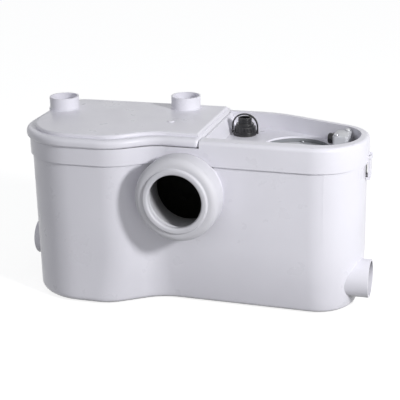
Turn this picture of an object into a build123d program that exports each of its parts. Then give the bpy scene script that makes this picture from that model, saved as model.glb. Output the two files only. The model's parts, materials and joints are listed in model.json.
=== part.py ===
from build123d import *
import os
from math import asin, atan2, cos, degrees, radians, sin, sqrt

# Macerator toilet pump: a kidney-shaped moulded tank under a two-part top.
# Millimetres, +Z up, +X to the right and +Y to the back, seen from the pan inlet side.
# The origin lies on the floor under the middle of the whole pump.

# Allowances shared by every piece
overrun = 1.0
slip = 0.3
running_gap = 0.05
overlap = 1.0
blunt = 1.0
fine_edge = 0.5
broad_round = 2.0

# Outline of the moulded body, seen from above
left_end = 249.0
right_end = 253.0
back_reach = 113.0
lobe_reach = 102.0
waist_reach = 68.0
front_reach = 74.0
lobe_corner = 93.0
waist_corner = 43.0
taper_start = 100.0
taper_end = 50.0
back_left_radius = 42.0
lobe_radius = 88.0
lobe_turn_radius = 72.0
waist_radius = 60.0
front_right_radius = 72.0
back_right_radius = 62.0
taper_radius = 160.0

# Heights of the body
foot_proud = 2.0
taper_top = 95.0
skirt_low = 218.0
tank_top = 236.0
gasket_thick = 2.0
frame_thick = 5.0
bridge_top = 252.0
rim_top = 254.0

# Tank
tank_wall = 3.5
wall_setback = 3.0
foot_radius = 10.0
taper_depth = 15.0
taper_shares = (0.0, 0.0, 0.7, 1.0, 0.8, 0.4, 0.0)
taper_step_shares = (0.3, 0.6, 0.85)
rim_width = 5.5
rim_flange = 4.0

# Pan inlet
port_x = 2.0
port_z = 178.0
collar_radius = 57.0
collar_bore = 50.0
collar_reach = 90.0
collar_root = 60.0
boot_proud = 27.0
boot_radius = 61.0
boot_shoulder = 10.0
boot_lip_radius = 47.5
boot_lip_proud = 3.0
boot_lip_width = 6.5
boot_mouth = 39.0
boot_wall = 3.7
boot_cuff = 10.0
boot_fin_step = 7.0
boot_fin_rise = 3.0
boot_fin_back = 4.0
boot_tail = 53.0
boot_tail_lip = 3.3
boot_ring_thick = 2.5

# Low side inlets
spout_radius = 28.0
spout_bore = 25.2
spout_step = 1.2
spout_out = 10.0
spout_inside = 28.0
pipe_depth = 25.0
left_spout_y = 10.0
left_spout_z = 60.0
right_spout_y = -16.0
right_spout_z = 48.0

# Non-return flap of a side inlet, measured from its own seat
seat_thick = 6.0
seat_bore = 16.5
flap_radius = 18.5
flap_thick = 2.5
flap_boss = 1.0
hinge_rise = 20.3
hinge_pin_radius = 1.2
knuckle_radius = 2.3
knuckle_half = 5.5
lug_thick = 2.8
lug_height = 3.4
lug_depth = 5.2

# Top housing
skirt_wall = 2.6
rim_round = 6.0
frame_width = 20.0
frame_right = 12.0
cover_right = 25.0
ramp_top = 28.0
ramp_foot = 37.4
tray_floor = 230.0
tray_thick = 3.0
tray_front_inset = 20.0
tray_end_inset = 12.5
tray_back_inset = 12.5

# End clip
clip_y = 4.0
clip_width = 16.0
clip_thick = 3.0
clip_low = 193.0
clip_pivot_z = 224.0
clip_barrel = 1.9
clip_pin_radius = 1.0
clip_ear_thick = 3.5
clip_ear_height = 9.0
clip_hook = 2.6
catch_height = 3.0
catch_low = 197.0

# Chamber cover
bead_overhang = 4.0
bead_top = 256.0
bead_round = 6.0
bead_under_round = 4.0
panel_top = 261.0
panel_inset = 13.0
panel_right_inset = 4.0
panel_round = 3.5
cover_wall = 3.5
cover_corner = 6.0
bead_pocket = 12.2
seal_inset = 7.5
seal_width = 3.0
seal_height = 2.6
top_spout_radius = 22.5
top_spout_bore = 20.2
top_spout_top = 279.5
top_spout_depth = 14.0
top_spout_root = 252.0
top_spout_collar = 24.0
top_spout_collar_top = 262.0
left_top_spout = (-224.0, 44.0)
right_top_spout = (-40.0, 84.0)
vent_x = -37.0
vent_y = -1.0
vent_cap_radius = 5.0
vent_cap_thick = 1.2
vent_stem_radius = 2.0
vent_body_radius = 12.0
vent_body_height = 20.0
vent_slot_width = 2.0
vent_slot_count = 6

# Pump axis and drive line heights
pump_x = 146.0
pump_y = 20.0
volute_low = 8.0
volute_high = 36.0
volute_floor = 3.0
volute_wall = 3.0
volute_lid = 3.0
scroll_start = 33.5
scroll_end = 38.0
scroll_tongue = 76.0
suction_eye = 17.0
volute_foot_radius = 6.0
volute_foot_circle = 28.0
volute_foot_count = 3
nozzle_offset = 26.0
nozzle_z = 23.0
nozzle_radius = 12.9
pillar_circle = 51.0
pillar_radius = 3.5
pillar_count = 4
lug_radius = 7.0

# Impeller and cutter
impeller_radius = 31.0
impeller_low = 17.0
impeller_disc = 2.5
impeller_high = 34.5
impeller_hub = 8.0
vane_count = 6
vane_width = 2.5
vane_sweep = 38.0
nut_radius = 7.0
nut_low = 12.5
cutter_hub = 9.0
cutter_low = 42.5
cutter_high = 66.0
cutter_reach = 41.0
cutter_blade_thick = 3.0
cutter_blade_width = 11.0
cutter_levels = (44.0, 55.0)
cutter_arms = 3
cutter_stagger = 60.0
cutter_tooth_height = 8.0
cutter_tooth_depth = 5.0

# Grinder basket
basket_radius = 46.0
basket_wall = 2.0
basket_high = 86.0
basket_lip = 1.2
basket_slot_low = 46.0
basket_slot_high = 78.0
basket_slot_width = 4.0
basket_slot_count = 18

# Motor chamber and motor
chamber_low = 98.0
chamber_floor = 4.0
chamber_radius = 48.0
chamber_bore = 44.0
chamber_step = 6.0
chamber_ledge = 218.5
chamber_flange_radius = 57.5
chamber_flange = 3.0
well_radius = 48.5
seal_boss_radius = 14.0
seal_boss_low = 90.0
seal_radius = 9.0
seal_high = 100.0
shaft_radius = 5.0
rotor_journal = 7.0
shaft_top = 196.0
flange_high = 112.0
end_bell_floor = 4.0
end_bell_rim = 2.5
motor_radius = 42.0
motor_wall = 1.5
motor_high = 198.0
motor_round = 6.0
bearing_radius = 13.0
bearing_race = 2.0
bearing_groove = 0.5
lower_bearing_low = 103.0
bearing_height = 8.0
upper_bearing_low = 187.0
bearing_boss = 16.0
stator_low = 128.0
stator_high = 170.0
stator_bore = 26.0
stator_slots = 12
stator_slot_width = 4.0
stator_slot_depth = 8.0
winding_height = 12.0
winding_outer = 39.0
winding_inner = 27.5
winding_round = 5.0
rotor_radius = 25.5
rotor_low = 126.0
rotor_high = 172.0
motor_cover_thick = 3.0
motor_cover_radius = 48.2
motor_cover_dish = 38.0
motor_cover_dish_depth = 1.2
capacitor_radius = 9.5
capacitor_length = 52.0
capacitor_y = 16.0
capacitor_cap = 4.0

# Discharge line
riser_x = 59.0
riser_y = 61.0
riser_radius = 11.0
riser_bore = 9.0
riser_bend = 26.0
riser_start = 48.0
nozzle_overlap = 11.0
valve_low = 138.0
valve_socket = 10.0
valve_seat = 3.0
valve_body_radius = 20.0
valve_neck_radius = 14.5
valve_chamber = 17.0
valve_shoulder = 4.0
valve_joint = 186.0
valve_flange_radius = 23.5
valve_flange = 4.0
valve_cap_high = 214.0
valve_cap_cone = 200.0
valve_cap_neck = 15.6
valve_cap_socket = 12.0
valve_cap_rim = 3.0
check_flap_radius = 13.0
check_flap_thick = 2.4
check_hinge_inset = 14.0
check_hinge_rise = 2.4
check_pin_radius = 1.0
check_pin_half = 7.6
check_knuckle = 2.1
check_knuckle_half = 4.0
check_lug_thick = 2.4
connector_bore = 8.0
connector_tail_radius = 12.6
connector_flange_radius = 17.6
connector_flange = 4.5
connector_base_radius = 16.0
connector_base_top = 244.0
connector_step_radius = 13.5
connector_step_top = 247.5
connector_top_radius = 10.5
connector_top = 256.5
connector_round = 1.2
connector_seal_radius = 16.6
connector_seal_thick = 1.6

# Swinging bail that stands over the discharge connector
bail_thick = 3.0
bail_width = 2.2
bail_half = 20.2
bail_top = 262.5
bail_crown = 19.8
bail_foot_round = 0.9
bail_foot_drop = 2.0
bail_pin_radius = 1.2
bail_pin_depth = 3.0
bail_pin_gap = 0.3

# Level switch
switch_x = 62.0
switch_y = -18.0
bell_radius = 18.0
bell_wall = 2.2
bell_low = 30.0
bell_high = 196.0
bell_flange_radius = 26.0
bell_flange = 4.0
diaphragm_thick = 2.0
diaphragm_dish = 14.0
switch_case_wall = 2.5
plunger_head = 8.0
plunger_head_thick = 2.0
plunger_radius = 3.0
plunger_top = 213.0
plunger_travel = 2.0
guide_low = 210.0
guide_thick = 2.5
spring_radius = 5.2
spring_wire = 0.8
spring_turns = 3
micro_length = 26.0
micro_width = 12.0
micro_height = 9.0

# Terminal box in the tray
box_left = 200.0
box_right = 222.0
box_front = 6.0
box_back = 45.0
box_high = 248.0
box_wall = 2.5
box_lid = 3.0
box_round = 4.0
box_screw_inset = 5.0
box_screw_length = 9.0

# Cable gland in the left wall of the terminal box
gland_y = 33.0
gland_z = 240.2
gland_thread = 6.0
gland_hex = 8.5
gland_hex_thick = 4.5
gland_dome_radius = 7.6
gland_dome_length = 10.5
gland_bore = 3.6
gland_nut_thick = 4.0
gland_thread_proud = 1.0
gland_core = 4.6
gland_round = 2.5

# Fasteners
screw_radius = 2.0
screw_head_radius = 3.8
screw_head_height = 2.4
screw_drive_radius = 1.5
screw_drive_depth = 1.2
screw_length = 16.0
boss_radius = 6.2
boss_height = 40.0
boss_inset = 12.5
front_boss_x = (94.0, 200.0)
front_boss_y = -36.0
pump_screw_radius = 2.0
pump_screw_head = 3.4
pump_screw_height = 3.0
pump_screw_length = 9.0
cover_screw_circle = 45.8
cover_screw_count = 3
cover_screw_radius = 1.3
cover_screw_head = 2.2
cover_screw_length = 9.0
chamber_screw_circle = 54.5
chamber_screw_head = 2.7
chamber_screw_count = 6
chamber_screw_bite = 2.2

# Rubber feet
pad_radius = 12.0
pad_recess = 1.5
pad_round = 1.0
pad_places = ((-205.0, 75.0), (-175.0, -60.0), (205.0, 30.0), (185.0, -30.0))

# Levels that follow from the sizes above
boot_reach = collar_reach + boot_proud
spout_proud = right_end + spout_out
spout_tail = right_end - spout_inside
flange_low = tank_top + gasket_thick
cover_seat = flange_low + frame_thick
rim_setback = wall_setback + rim_width
seat_face = spout_proud - pipe_depth
cartridge_radius = spout_bore - spout_step
volute_lid_top = volute_high + volute_lid
chamber_top = tray_floor - tray_thick

upright_base = (Align.CENTER, Align.CENTER, Align.MIN)
body_corners = (
    (-left_end, back_reach, back_left_radius),
    (-left_end, -lobe_reach, lobe_radius),
    (-lobe_corner, -lobe_reach, lobe_turn_radius),
    (-waist_corner, -waist_reach, waist_radius),
    (right_end, -front_reach, front_right_radius),
    (right_end, taper_end, back_right_radius),
    (taper_start, back_reach, taper_radius),
)


# Outlines
def moved_in(corners, insets):
    """Corners of an outline whose sides have each moved in by their own inset."""
    count = len(corners)
    sides = []
    for index in range(count):
        start = Vector(*corners[index][:2])
        finish = Vector(*corners[(index + 1) % count][:2])
        along = (finish - start).normalized()
        outward = Vector(along.Y, -along.X)
        sides.append((start - outward * insets[index], along))
    result = []
    for index in range(count):
        before, along_before = sides[index - 1]
        after, along_after = sides[index]
        turn = along_before.X * along_after.Y - along_before.Y * along_after.X
        gap = after - before
        travel = (gap.X * along_after.Y - gap.Y * along_after.X) / turn
        corner = before + along_before * travel
        bend = 1 if turn > 0 else -1
        mean_inset = (insets[index - 1] + insets[index]) / 2
        radius = max(corners[index][2] - bend * mean_inset, 0)
        result.append((corner.X, corner.Y, radius))
    return result


def rounded_face(corners):
    """Flat face inside corners given as x, y and rounding radius."""
    points = [corner[:2] for corner in corners]
    radii = [corner[2] for corner in corners]
    return make_face(FilletPolyline(*points, radius=radii, close=True)).face()


def body_face(inset, taper=0.0):
    """Body outline moved in all round, and further where the lower tank tapers."""
    insets = [inset + taper * share for share in taper_shares]
    return rounded_face(moved_in(body_corners, insets))


def slab(face, low, high):
    """Flat face raised into a slab between two heights."""
    return extrude(Pos(0, 0, low) * face, high - low)


def body_slab(inset, low, high):
    return slab(body_face(inset), low, high)


def front_at(x):
    """How far in front of the origin the body's front wall stands at x."""
    share = (x + waist_corner) / (right_end + waist_corner)
    return waist_reach + (front_reach - waist_reach) * share


# Plain round and square forms
def upright(place, low, high, radius):
    return Pos(place[0], place[1], low) * Cylinder(radius, high - low, align=upright_base)


def ring(place, low, high, outer, inner):
    solid = upright(place, low, high, outer)
    return solid - upright(place, low - overrun, high + overrun, inner)


def along_x(y, z, low, high, radius):
    return Pos(low, y, z) * Rot(0, 90, 0) * Cylinder(radius, high - low, align=upright_base)


def along_y(x, z, low, high, radius):
    return Pos(x, low, z) * Rot(-90, 0, 0) * Cylinder(radius, high - low, align=upright_base)


def block(x_low, x_high, y_low, y_high, z_low, z_high):
    centre = Pos((x_low + x_high) / 2, (y_low + y_high) / 2, (z_low + z_high) / 2)
    return centre * Box(x_high - x_low, y_high - y_low, z_high - z_low)


def turned(corners, place=(0, 0)):
    """Solid of revolution about an upright axis from radius, height and rounding."""
    points = [(corner[0], 0, corner[1]) for corner in corners]
    radii = [corner[2] if len(corner) > 2 else 0 for corner in corners]
    profile = make_face(FilletPolyline(*points, radius=radii, close=True))
    return Pos(place[0], place[1], 0) * revolve(profile, Axis.Z)


def round_places(centre, radius, count, first=0.0):
    """Places spaced evenly on a circle, the first at the given angle."""
    places = []
    for index in range(count):
        angle = radians(first + index * 360 / count)
        places.append((centre[0] + radius * cos(angle), centre[1] + radius * sin(angle)))
    return places


pump_axis = (pump_x, pump_y)
riser_axis = (riser_x, riser_y)
switch_axis = (switch_x, switch_y)
pillar_places = round_places(pump_axis, pillar_circle, pillar_count)


# Body shells
def tank_form(inset, low, round_radius):
    """Tank body from its floor up: the right lobe narrows towards the floor."""
    fall = taper_top - low
    arc_radius = (fall ** 2 + taper_depth ** 2) / (2 * taper_depth)
    heights = [0.0] + [fall * share for share in taper_step_shares] + [fall]
    sections = []
    for drop in heights:
        taper = arc_radius - sqrt(arc_radius ** 2 - drop ** 2)
        sections.append(Pos(0, 0, taper_top - drop) * body_face(inset, taper))
    lower = loft(sections)
    lower = fillet(lower.faces().sort_by(Axis.Z)[0].edges(), round_radius)
    return lower + body_slab(inset, taper_top, tank_top)


def frame_boss_places():
    """Screw places under the chamber cover, just inside the body's edge."""
    left = -left_end + boss_inset
    back = back_reach - boss_inset
    front = -lobe_reach + boss_inset
    corner_in = (back_left_radius - boss_inset) * (1 - sqrt(1 / 2))
    return (
        (left, 0.0),
        (left + corner_in, back - corner_in),
        (-lobe_corner - lobe_radius / 3, front),
        (-lobe_corner, back),
    )


def spout(side, y, z):
    """Low side inlet stub that runs in from its mouth."""
    if side > 0:
        return along_x(y, z, spout_tail, spout_proud, spout_radius)
    return along_x(y, z, -spout_proud, -spout_tail, spout_radius)


def spout_cut(side, y, z):
    """Bore for the pipe, and the smaller bore behind it for the flap cartridge."""
    mouth = spout_proud + overrun
    tail = spout_tail - overrun
    if side > 0:
        wide = along_x(y, z, seat_face, mouth, spout_bore)
        return wide + along_x(y, z, tail, mouth, cartridge_radius)
    wide = along_x(y, z, -mouth, -seat_face, spout_bore)
    return wide + along_x(y, z, -mouth, -tail, cartridge_radius)


def make_tank():
    floor_top = foot_proud + tank_wall
    inner_round = foot_radius - tank_wall
    shell = tank_form(wall_setback, foot_proud, foot_radius)
    shell -= tank_form(wall_setback + tank_wall, floor_top, inner_round)
    flange = body_slab(wall_setback + tank_wall / 2, tank_top - rim_flange, tank_top)
    flange -= body_slab(rim_setback, tank_top - rim_flange - overrun, tank_top + overrun)
    shell += flange
    shell += along_y(port_x, port_z, -collar_reach, -collar_root, collar_radius)
    shell += spout(-1, left_spout_y, left_spout_z)
    shell += spout(1, right_spout_y, right_spout_z)
    for place in frame_boss_places():
        shell += upright(place, tank_top - boss_height, tank_top, boss_radius)
    for x in front_boss_x:
        post = upright((x, front_boss_y), chamber_top - boss_height, chamber_top, boss_radius)
        rib_low = chamber_top - boss_height
        rib_front = -front_reach + wall_setback + tank_wall + overlap
        rib = block(x - tank_wall / 2, x + tank_wall / 2, rib_front, front_boss_y,
                    rib_low, chamber_top)
        shell += post + rib
    shell -= along_y(port_x, port_z, -collar_reach - overrun, -collar_root + overrun, collar_bore)
    shell -= spout_cut(-1, left_spout_y, left_spout_z)
    shell -= spout_cut(1, right_spout_y, right_spout_z)
    for place in frame_boss_places():
        shell -= upright(place, cover_seat - screw_length, tank_top + overrun, screw_radius)
    for x in front_boss_x:
        hole_low = tray_floor - screw_length
        shell -= upright((x, front_boss_y), hole_low, tank_top, screw_radius)
    for place in pad_places:
        shell -= upright(place, 0, foot_proud + pad_recess, pad_radius + slip)
    catch_x = right_end - wall_setback
    catch_high = catch_low + catch_height
    catch = block(catch_x - tank_wall / 2, catch_x + clip_hook, clip_y - clip_width / 4,
                  clip_y + clip_width / 4, catch_low, catch_high)
    return shell + catch


def tray_face(grow):
    """Outline of the open tray, grown by the thickness of its tub where wanted."""
    insets = [tray_back_inset - grow] * len(body_corners)
    insets[3] = tray_front_inset - grow
    insets[4] = tray_end_inset - grow
    return rounded_face(moved_in(body_corners, insets))


def ramp_wedge(sink, low):
    """Wedge left standing at the tray's left end, under its ramp."""
    far = left_end + back_reach
    points = (
        (-left_end, low - overrun),
        (ramp_foot, low - overrun),
        (ramp_foot, tray_floor - sink),
        (ramp_top, bridge_top - sink),
        (-left_end, bridge_top - sink),
    )
    outline = make_face(Polyline(*[(x, far, z) for x, z in points], close=True))
    return extrude(outline, 2 * far, dir=(0, -1, 0))


def tray_pocket():
    """Space of the open tray down to its floor, beyond the bridge and its ramp."""
    space = slab(tray_face(0), tray_floor, rim_top + overrun)
    space -= ramp_wedge(0, tray_floor)
    keep_left = block(-left_end - overrun, cover_right, -lobe_reach - back_reach,
                      back_reach + overrun, tray_floor - overrun, rim_top + rim_round)
    return space - keep_left


def tray_tub():
    """Outside of the tub that hangs below the housing's edge."""
    tub = slab(tray_face(tray_thick), chamber_top, flange_low + overrun)
    return tub - ramp_wedge(tray_thick, chamber_top)


def make_top_housing():
    body = body_slab(0, skirt_low, rim_top)
    body = fillet(body.faces().sort_by(Axis.Z)[-1].edges(), rim_round)
    wide = left_end + right_end
    body -= block(-wide, cover_right + slip, -wide, wide, cover_seat, rim_top + overrun)
    body -= body_slab(skirt_wall, skirt_low - overrun, flange_low)
    opening = body_slab(frame_width, flange_low - overrun, cover_seat + overrun)
    opening -= block(frame_right, wide, -wide, wide, skirt_low, rim_top)
    body -= opening
    body += tray_tub()
    body -= tray_pocket()
    body -= upright(pump_axis, chamber_top - overrun, tray_floor + overrun, well_radius)
    body -= upright(riser_axis, chamber_top - overrun, tray_floor + overrun,
                    connector_tail_radius + slip)
    body -= along_y(port_x, port_z, -boot_reach, -collar_root, collar_radius + slip)
    for place in frame_boss_places():
        body -= upright(place, flange_low - overrun, cover_seat + overrun, screw_radius)
    for x in front_boss_x:
        body -= upright((x, front_boss_y), chamber_top - overrun, tray_floor + overrun,
                        screw_radius)
    for place in round_places(pump_axis, chamber_screw_circle, chamber_screw_count):
        body -= upright(place, chamber_top, chamber_top + chamber_screw_bite, screw_radius)
    pivot_x = clip_pivot_x()
    ear_low = clip_pivot_z - clip_ear_height / 2
    for y in (ear_start(-1), ear_start(1)):
        ear = block(right_end - skirt_wall, pivot_x + clip_barrel, y, y + clip_ear_thick,
                    ear_low, ear_low + clip_ear_height)
        body += fillet(ear.edges().filter_by(Axis.Y).group_by(Axis.X)[-1], clip_barrel - slip)
    return body - along_y(pivot_x, clip_pivot_z, ear_start(-1) - overrun,
                          ear_start(1) + clip_ear_thick + overrun, clip_pin_radius)


def clip_pivot_x():
    return right_end + slip + clip_barrel


def ear_start(way):
    """Front face of the ear in front of the clip, or of the ear behind it."""
    if way > 0:
        return clip_y + clip_width / 2 + slip
    return clip_y - clip_width / 2 - slip - clip_ear_thick


def make_end_clip():
    """Swinging clip on the right end of the housing, hooked under a catch on the tank."""
    pivot_x = clip_pivot_x()
    half = clip_width / 2
    arm_in = right_end + slip
    hook_x = right_end - wall_setback + slip
    barrel = along_y(pivot_x, clip_pivot_z, clip_y - half, clip_y + half, clip_barrel)
    arm = block(arm_in, arm_in + clip_thick, clip_y - half, clip_y + half, clip_low,
                clip_pivot_z)
    hook = block(hook_x, arm_in + overlap, clip_y - half, clip_y + half, clip_low,
                 catch_low - slip)
    arm = fillet((arm + hook).edges().filter_by(Axis.Y).group_by(Axis.Z)[0], blunt)
    bore = along_y(pivot_x, clip_pivot_z, clip_y - half - overrun, clip_y + half + overrun,
                   clip_pin_radius + running_gap)
    return barrel + arm - bore


def make_clip_pin():
    return along_y(clip_pivot_x(), clip_pivot_z, ear_start(-1), ear_start(1) + clip_ear_thick,
                   clip_pin_radius)


def make_housing_gasket():
    seal = body_slab(skirt_wall + slip, tank_top, flange_low)
    seal -= body_slab(rim_setback, tank_top - overrun, flange_low + overrun)
    for place in frame_boss_places():
        seal += upright(place, tank_top, flange_low, boss_radius)
        seal -= upright(place, tank_top - overrun, flange_low + overrun, screw_radius)
    collar = along_y(port_x, port_z, -boot_reach, -collar_root, collar_radius + slip)
    return seal - collar


def screw(place, under_head, length, radius, head_radius, head_height):
    """Pan head screw pointing down, with a round drive recess in its head."""
    head_top = under_head + head_height
    body = upright(place, under_head, head_top, head_radius)
    body = fillet(body.edges().filter_by(GeomType.CIRCLE).sort_by(Axis.Z)[-1], head_height / 3)
    body += upright(place, under_head - length, under_head, radius)
    return body - upright(place, head_top - screw_drive_depth, head_top + overrun,
                          screw_drive_radius)


def make_housing_screws():
    group = []
    for place in frame_boss_places():
        group.append(screw(place, cover_seat, screw_length, screw_radius,
                           screw_head_radius, screw_head_height))
    for x in front_boss_x:
        group.append(screw((x, front_boss_y), tray_floor, screw_length, screw_radius,
                           screw_head_radius, screw_head_height))
    return group


def make_rubber_feet():
    pads = []
    for place in pad_places:
        pad = upright(place, 0, foot_proud + pad_recess, pad_radius)
        pads.append(fillet(pad.edges().filter_by(GeomType.CIRCLE).sort_by(Axis.Z)[0], pad_round))
    return pads


# Chamber cover
def cover_corners():
    """Cover outline: it overhangs the left lobe and runs flush into the waist."""
    left = -left_end - bead_overhang
    back = back_reach + bead_overhang
    front = -lobe_reach - bead_overhang
    return (
        (left, back, back_left_radius + bead_overhang),
        (left, front, lobe_radius + bead_overhang),
        (-lobe_corner, front, lobe_turn_radius),
        (-waist_corner, -waist_reach, waist_radius),
        (cover_right, -front_at(cover_right), cover_corner),
        (cover_right, back, cover_corner),
    )


def cover_face(inset, right_inset):
    insets = [inset] * len(cover_corners())
    insets[4] = right_inset
    return rounded_face(moved_in(cover_corners(), insets))


def make_chamber_cover():
    under = cover_seat + slip
    bead = slab(cover_face(0, 0), under, bead_top)
    bead = fillet(bead.faces().sort_by(Axis.Z)[-1].edges(), bead_round)
    bead = fillet(bead.faces().sort_by(Axis.Z)[0].edges(), bead_under_round)
    panel = slab(cover_face(panel_inset, panel_right_inset), bead_top - overrun, panel_top)
    panel = fillet(panel.faces().sort_by(Axis.Z)[-1].edges(), panel_round)
    inner = panel_inset + cover_wall
    inner_right = panel_inset
    cover = bead + panel
    cover -= slab(cover_face(inner, inner_right), under - overrun, panel_top - cover_wall)
    cover -= slab(cover_face(bead_pocket, bead_pocket), under - overrun,
                  bead_top - cover_wall)
    for place in (left_top_spout, right_top_spout):
        cover += upright(place, top_spout_root, top_spout_collar_top, top_spout_collar)
        cover += upright(place, top_spout_root, top_spout_top, top_spout_radius)
        cover -= upright(place, top_spout_top - top_spout_depth, top_spout_top + overrun,
                         top_spout_bore)
    cover -= cover_seal_ring(under - overrun, under + seal_height)
    return cover - upright((vent_x, vent_y), under, panel_top + overrun, vent_stem_radius)


def cover_seal_ring(low, high):
    outer_inset = seal_inset
    inner_inset = seal_inset + seal_width
    outer = slab(cover_face(outer_inset, outer_inset), low, high)
    return outer - slab(cover_face(inner_inset, inner_inset), low - overrun, high + overrun)


def make_cover_seal():
    return cover_seal_ring(cover_seat + slip / 2, cover_seat + slip + seal_height)


def make_vent_cap():
    place = (vent_x, vent_y)
    cap = upright(place, panel_top, panel_top + vent_cap_thick, vent_cap_radius)
    cap = fillet(cap.edges().filter_by(GeomType.CIRCLE).sort_by(Axis.Z)[-1], vent_cap_thick / 2)
    return cap + upright(place, panel_top - cover_wall, panel_top, vent_stem_radius)


def make_vent_filter():
    place = (vent_x, vent_y)
    high = panel_top - cover_wall
    body = upright(place, high - vent_body_height, high, vent_body_radius)
    slot = block(vent_x - vent_body_radius - overrun, vent_x + vent_body_radius + overrun,
                 vent_y - vent_slot_width / 2, vent_y + vent_slot_width / 2,
                 high - vent_body_height - overrun, high - vent_body_height / 2)
    for index in range(vent_slot_count // 2):
        angle = index * 360 / vent_slot_count
        about = Pos(vent_x, vent_y, 0) * Rot(0, 0, angle) * Pos(-vent_x, -vent_y, 0)
        body -= about * slot
    return body


# Pan inlet
def make_pan_boot():
    """Soft white sleeve: a cuff over the tank's collar, a rolled lip and inner fins."""
    sleeve_outer = collar_bore - slip
    sleeve_inner = sleeve_outer - boot_wall
    cuff_inner = collar_radius + slip
    web = collar_reach + slip
    fin_one = boot_reach - boot_lip_width
    fin_two = fin_one - boot_fin_step
    fin_three = fin_two - boot_fin_step
    corners = (
        (boot_radius, collar_reach - boot_cuff, blunt),
        (boot_radius, boot_reach - boot_lip_proud, boot_shoulder),
        (boot_lip_radius, boot_reach - boot_lip_proud, blunt),
        (boot_lip_radius, boot_reach, blunt),
        (boot_mouth, boot_reach, broad_round),
        (boot_mouth, fin_one, blunt),
        (boot_mouth + boot_fin_back, fin_one - boot_fin_rise, blunt),
        (boot_mouth + boot_fin_rise, fin_two, blunt),
        (boot_mouth + boot_fin_rise + boot_fin_back, fin_two - boot_fin_rise, blunt),
        (sleeve_inner - boot_fin_rise, fin_three, blunt),
        (sleeve_inner, fin_three - boot_fin_back, blunt),
        (sleeve_inner, boot_tail, 0),
        (sleeve_outer + boot_tail_lip, boot_tail, blunt),
        (sleeve_outer + boot_tail_lip, boot_tail + boot_tail_lip, blunt),
        (sleeve_outer, boot_tail + boot_tail_lip, 0),
        (sleeve_outer, web, 0),
        (cuff_inner, web, 0),
        (cuff_inner, collar_reach - boot_cuff, 0),
    )
    return Pos(port_x, 0, port_z) * Rot(90, 0, 0) * turned(corners)


def make_boot_ring():
    """Ring that traps the boot's tail behind the tank's collar."""
    near = collar_root - slip
    outer = along_y(port_x, port_z, -near, -near + boot_ring_thick, collar_radius)
    bore = along_y(port_x, port_z, -collar_reach, 0, collar_bore)
    return outer - bore


# Side inlet valves
def placed_valve(side, y, z, shape):
    """Puts a valve piece, built pointing out along +X, on its side of the tank."""
    turn = 0 if side > 0 else 180
    return Pos(0, y, z) * Rot(0, 0, turn) * shape


def hinge_x():
    return seat_face - seat_thick - slip - knuckle_radius


def make_valve_seat(side, y, z):
    inner = seat_face - seat_thick
    seat = along_x(0, 0, inner, seat_face, cartridge_radius - running_gap)
    seat -= along_x(0, 0, inner - overrun, seat_face + overrun, seat_bore)
    lug_in = knuckle_half + slip
    lug_top = hinge_rise + hinge_pin_radius + slip
    for way in (-1, 1):
        lug = block(inner - lug_depth, inner, 0, lug_thick, lug_top - lug_height, lug_top)
        shift = lug_in if way > 0 else -lug_in - lug_thick
        seat += Pos(0, shift, 0) * lug
    pin_half = lug_in + lug_thick
    seat -= along_y(hinge_x(), hinge_rise, -pin_half - overrun, pin_half + overrun,
                    hinge_pin_radius)
    return placed_valve(side, y, z, seat)


def make_valve_pin(side, y, z):
    pin_half = knuckle_half + slip + lug_thick
    pin = along_y(hinge_x(), hinge_rise, -pin_half, pin_half, hinge_pin_radius)
    return placed_valve(side, y, z, pin)


def make_valve_flap(side, y, z):
    face = seat_face - seat_thick - slip
    disc = along_x(0, 0, face - flap_thick, face, flap_radius)
    boss = along_x(0, 0, face - flap_thick - flap_boss, face, flap_radius / 2)
    knuckle = along_y(hinge_x(), hinge_rise, -knuckle_half, knuckle_half, knuckle_radius)
    web = block(face - flap_thick, face, -knuckle_half, knuckle_half,
                flap_radius / 2, hinge_rise)
    flap = disc + boss + knuckle + web
    flap -= along_y(hinge_x(), hinge_rise, -knuckle_half - overrun, knuckle_half + overrun,
                    hinge_pin_radius + running_gap)
    return placed_valve(side, y, z, flap)


# Discharge line
def nozzle_heading():
    """Unit direction of the volute's nozzle, straight at the foot of the riser."""
    reach = sqrt((riser_x - pump_x) ** 2 + (riser_y - pump_y) ** 2)
    straight = atan2(riser_y - pump_y, riser_x - pump_x)
    heading = straight + asin(nozzle_offset / reach)
    return Vector(cos(heading), sin(heading))


def nozzle_root():
    """Point where the nozzle's axis leaves the scroll."""
    heading = nozzle_heading()
    return Vector(pump_x + nozzle_offset * heading.Y, pump_y - nozzle_offset * heading.X)


def level_rod(start, finish, z, radius):
    """Level round bar between two points seen from above."""
    heading = degrees(atan2(finish.Y - start.Y, finish.X - start.X))
    length = (finish - start).length
    bar = Rot(0, 90, 0) * Cylinder(radius, length, align=upright_base)
    return Pos(start.X, start.Y, z) * Rot(0, 0, heading) * bar


def make_riser_pipe():
    foot = Vector(riser_x, riser_y)
    start = foot - nozzle_heading() * riser_start
    top = valve_low + valve_socket
    path = FilletPolyline((start.X, start.Y, nozzle_z), (riser_x, riser_y, nozzle_z),
                          (riser_x, riser_y, top), radius=[riser_bend])
    mouth = Plane(origin=path @ 0, z_dir=path % 0)
    outside = sweep(mouth * Circle(riser_radius), path=path)
    return outside - sweep(mouth * Circle(riser_bore), path=path)


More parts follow.
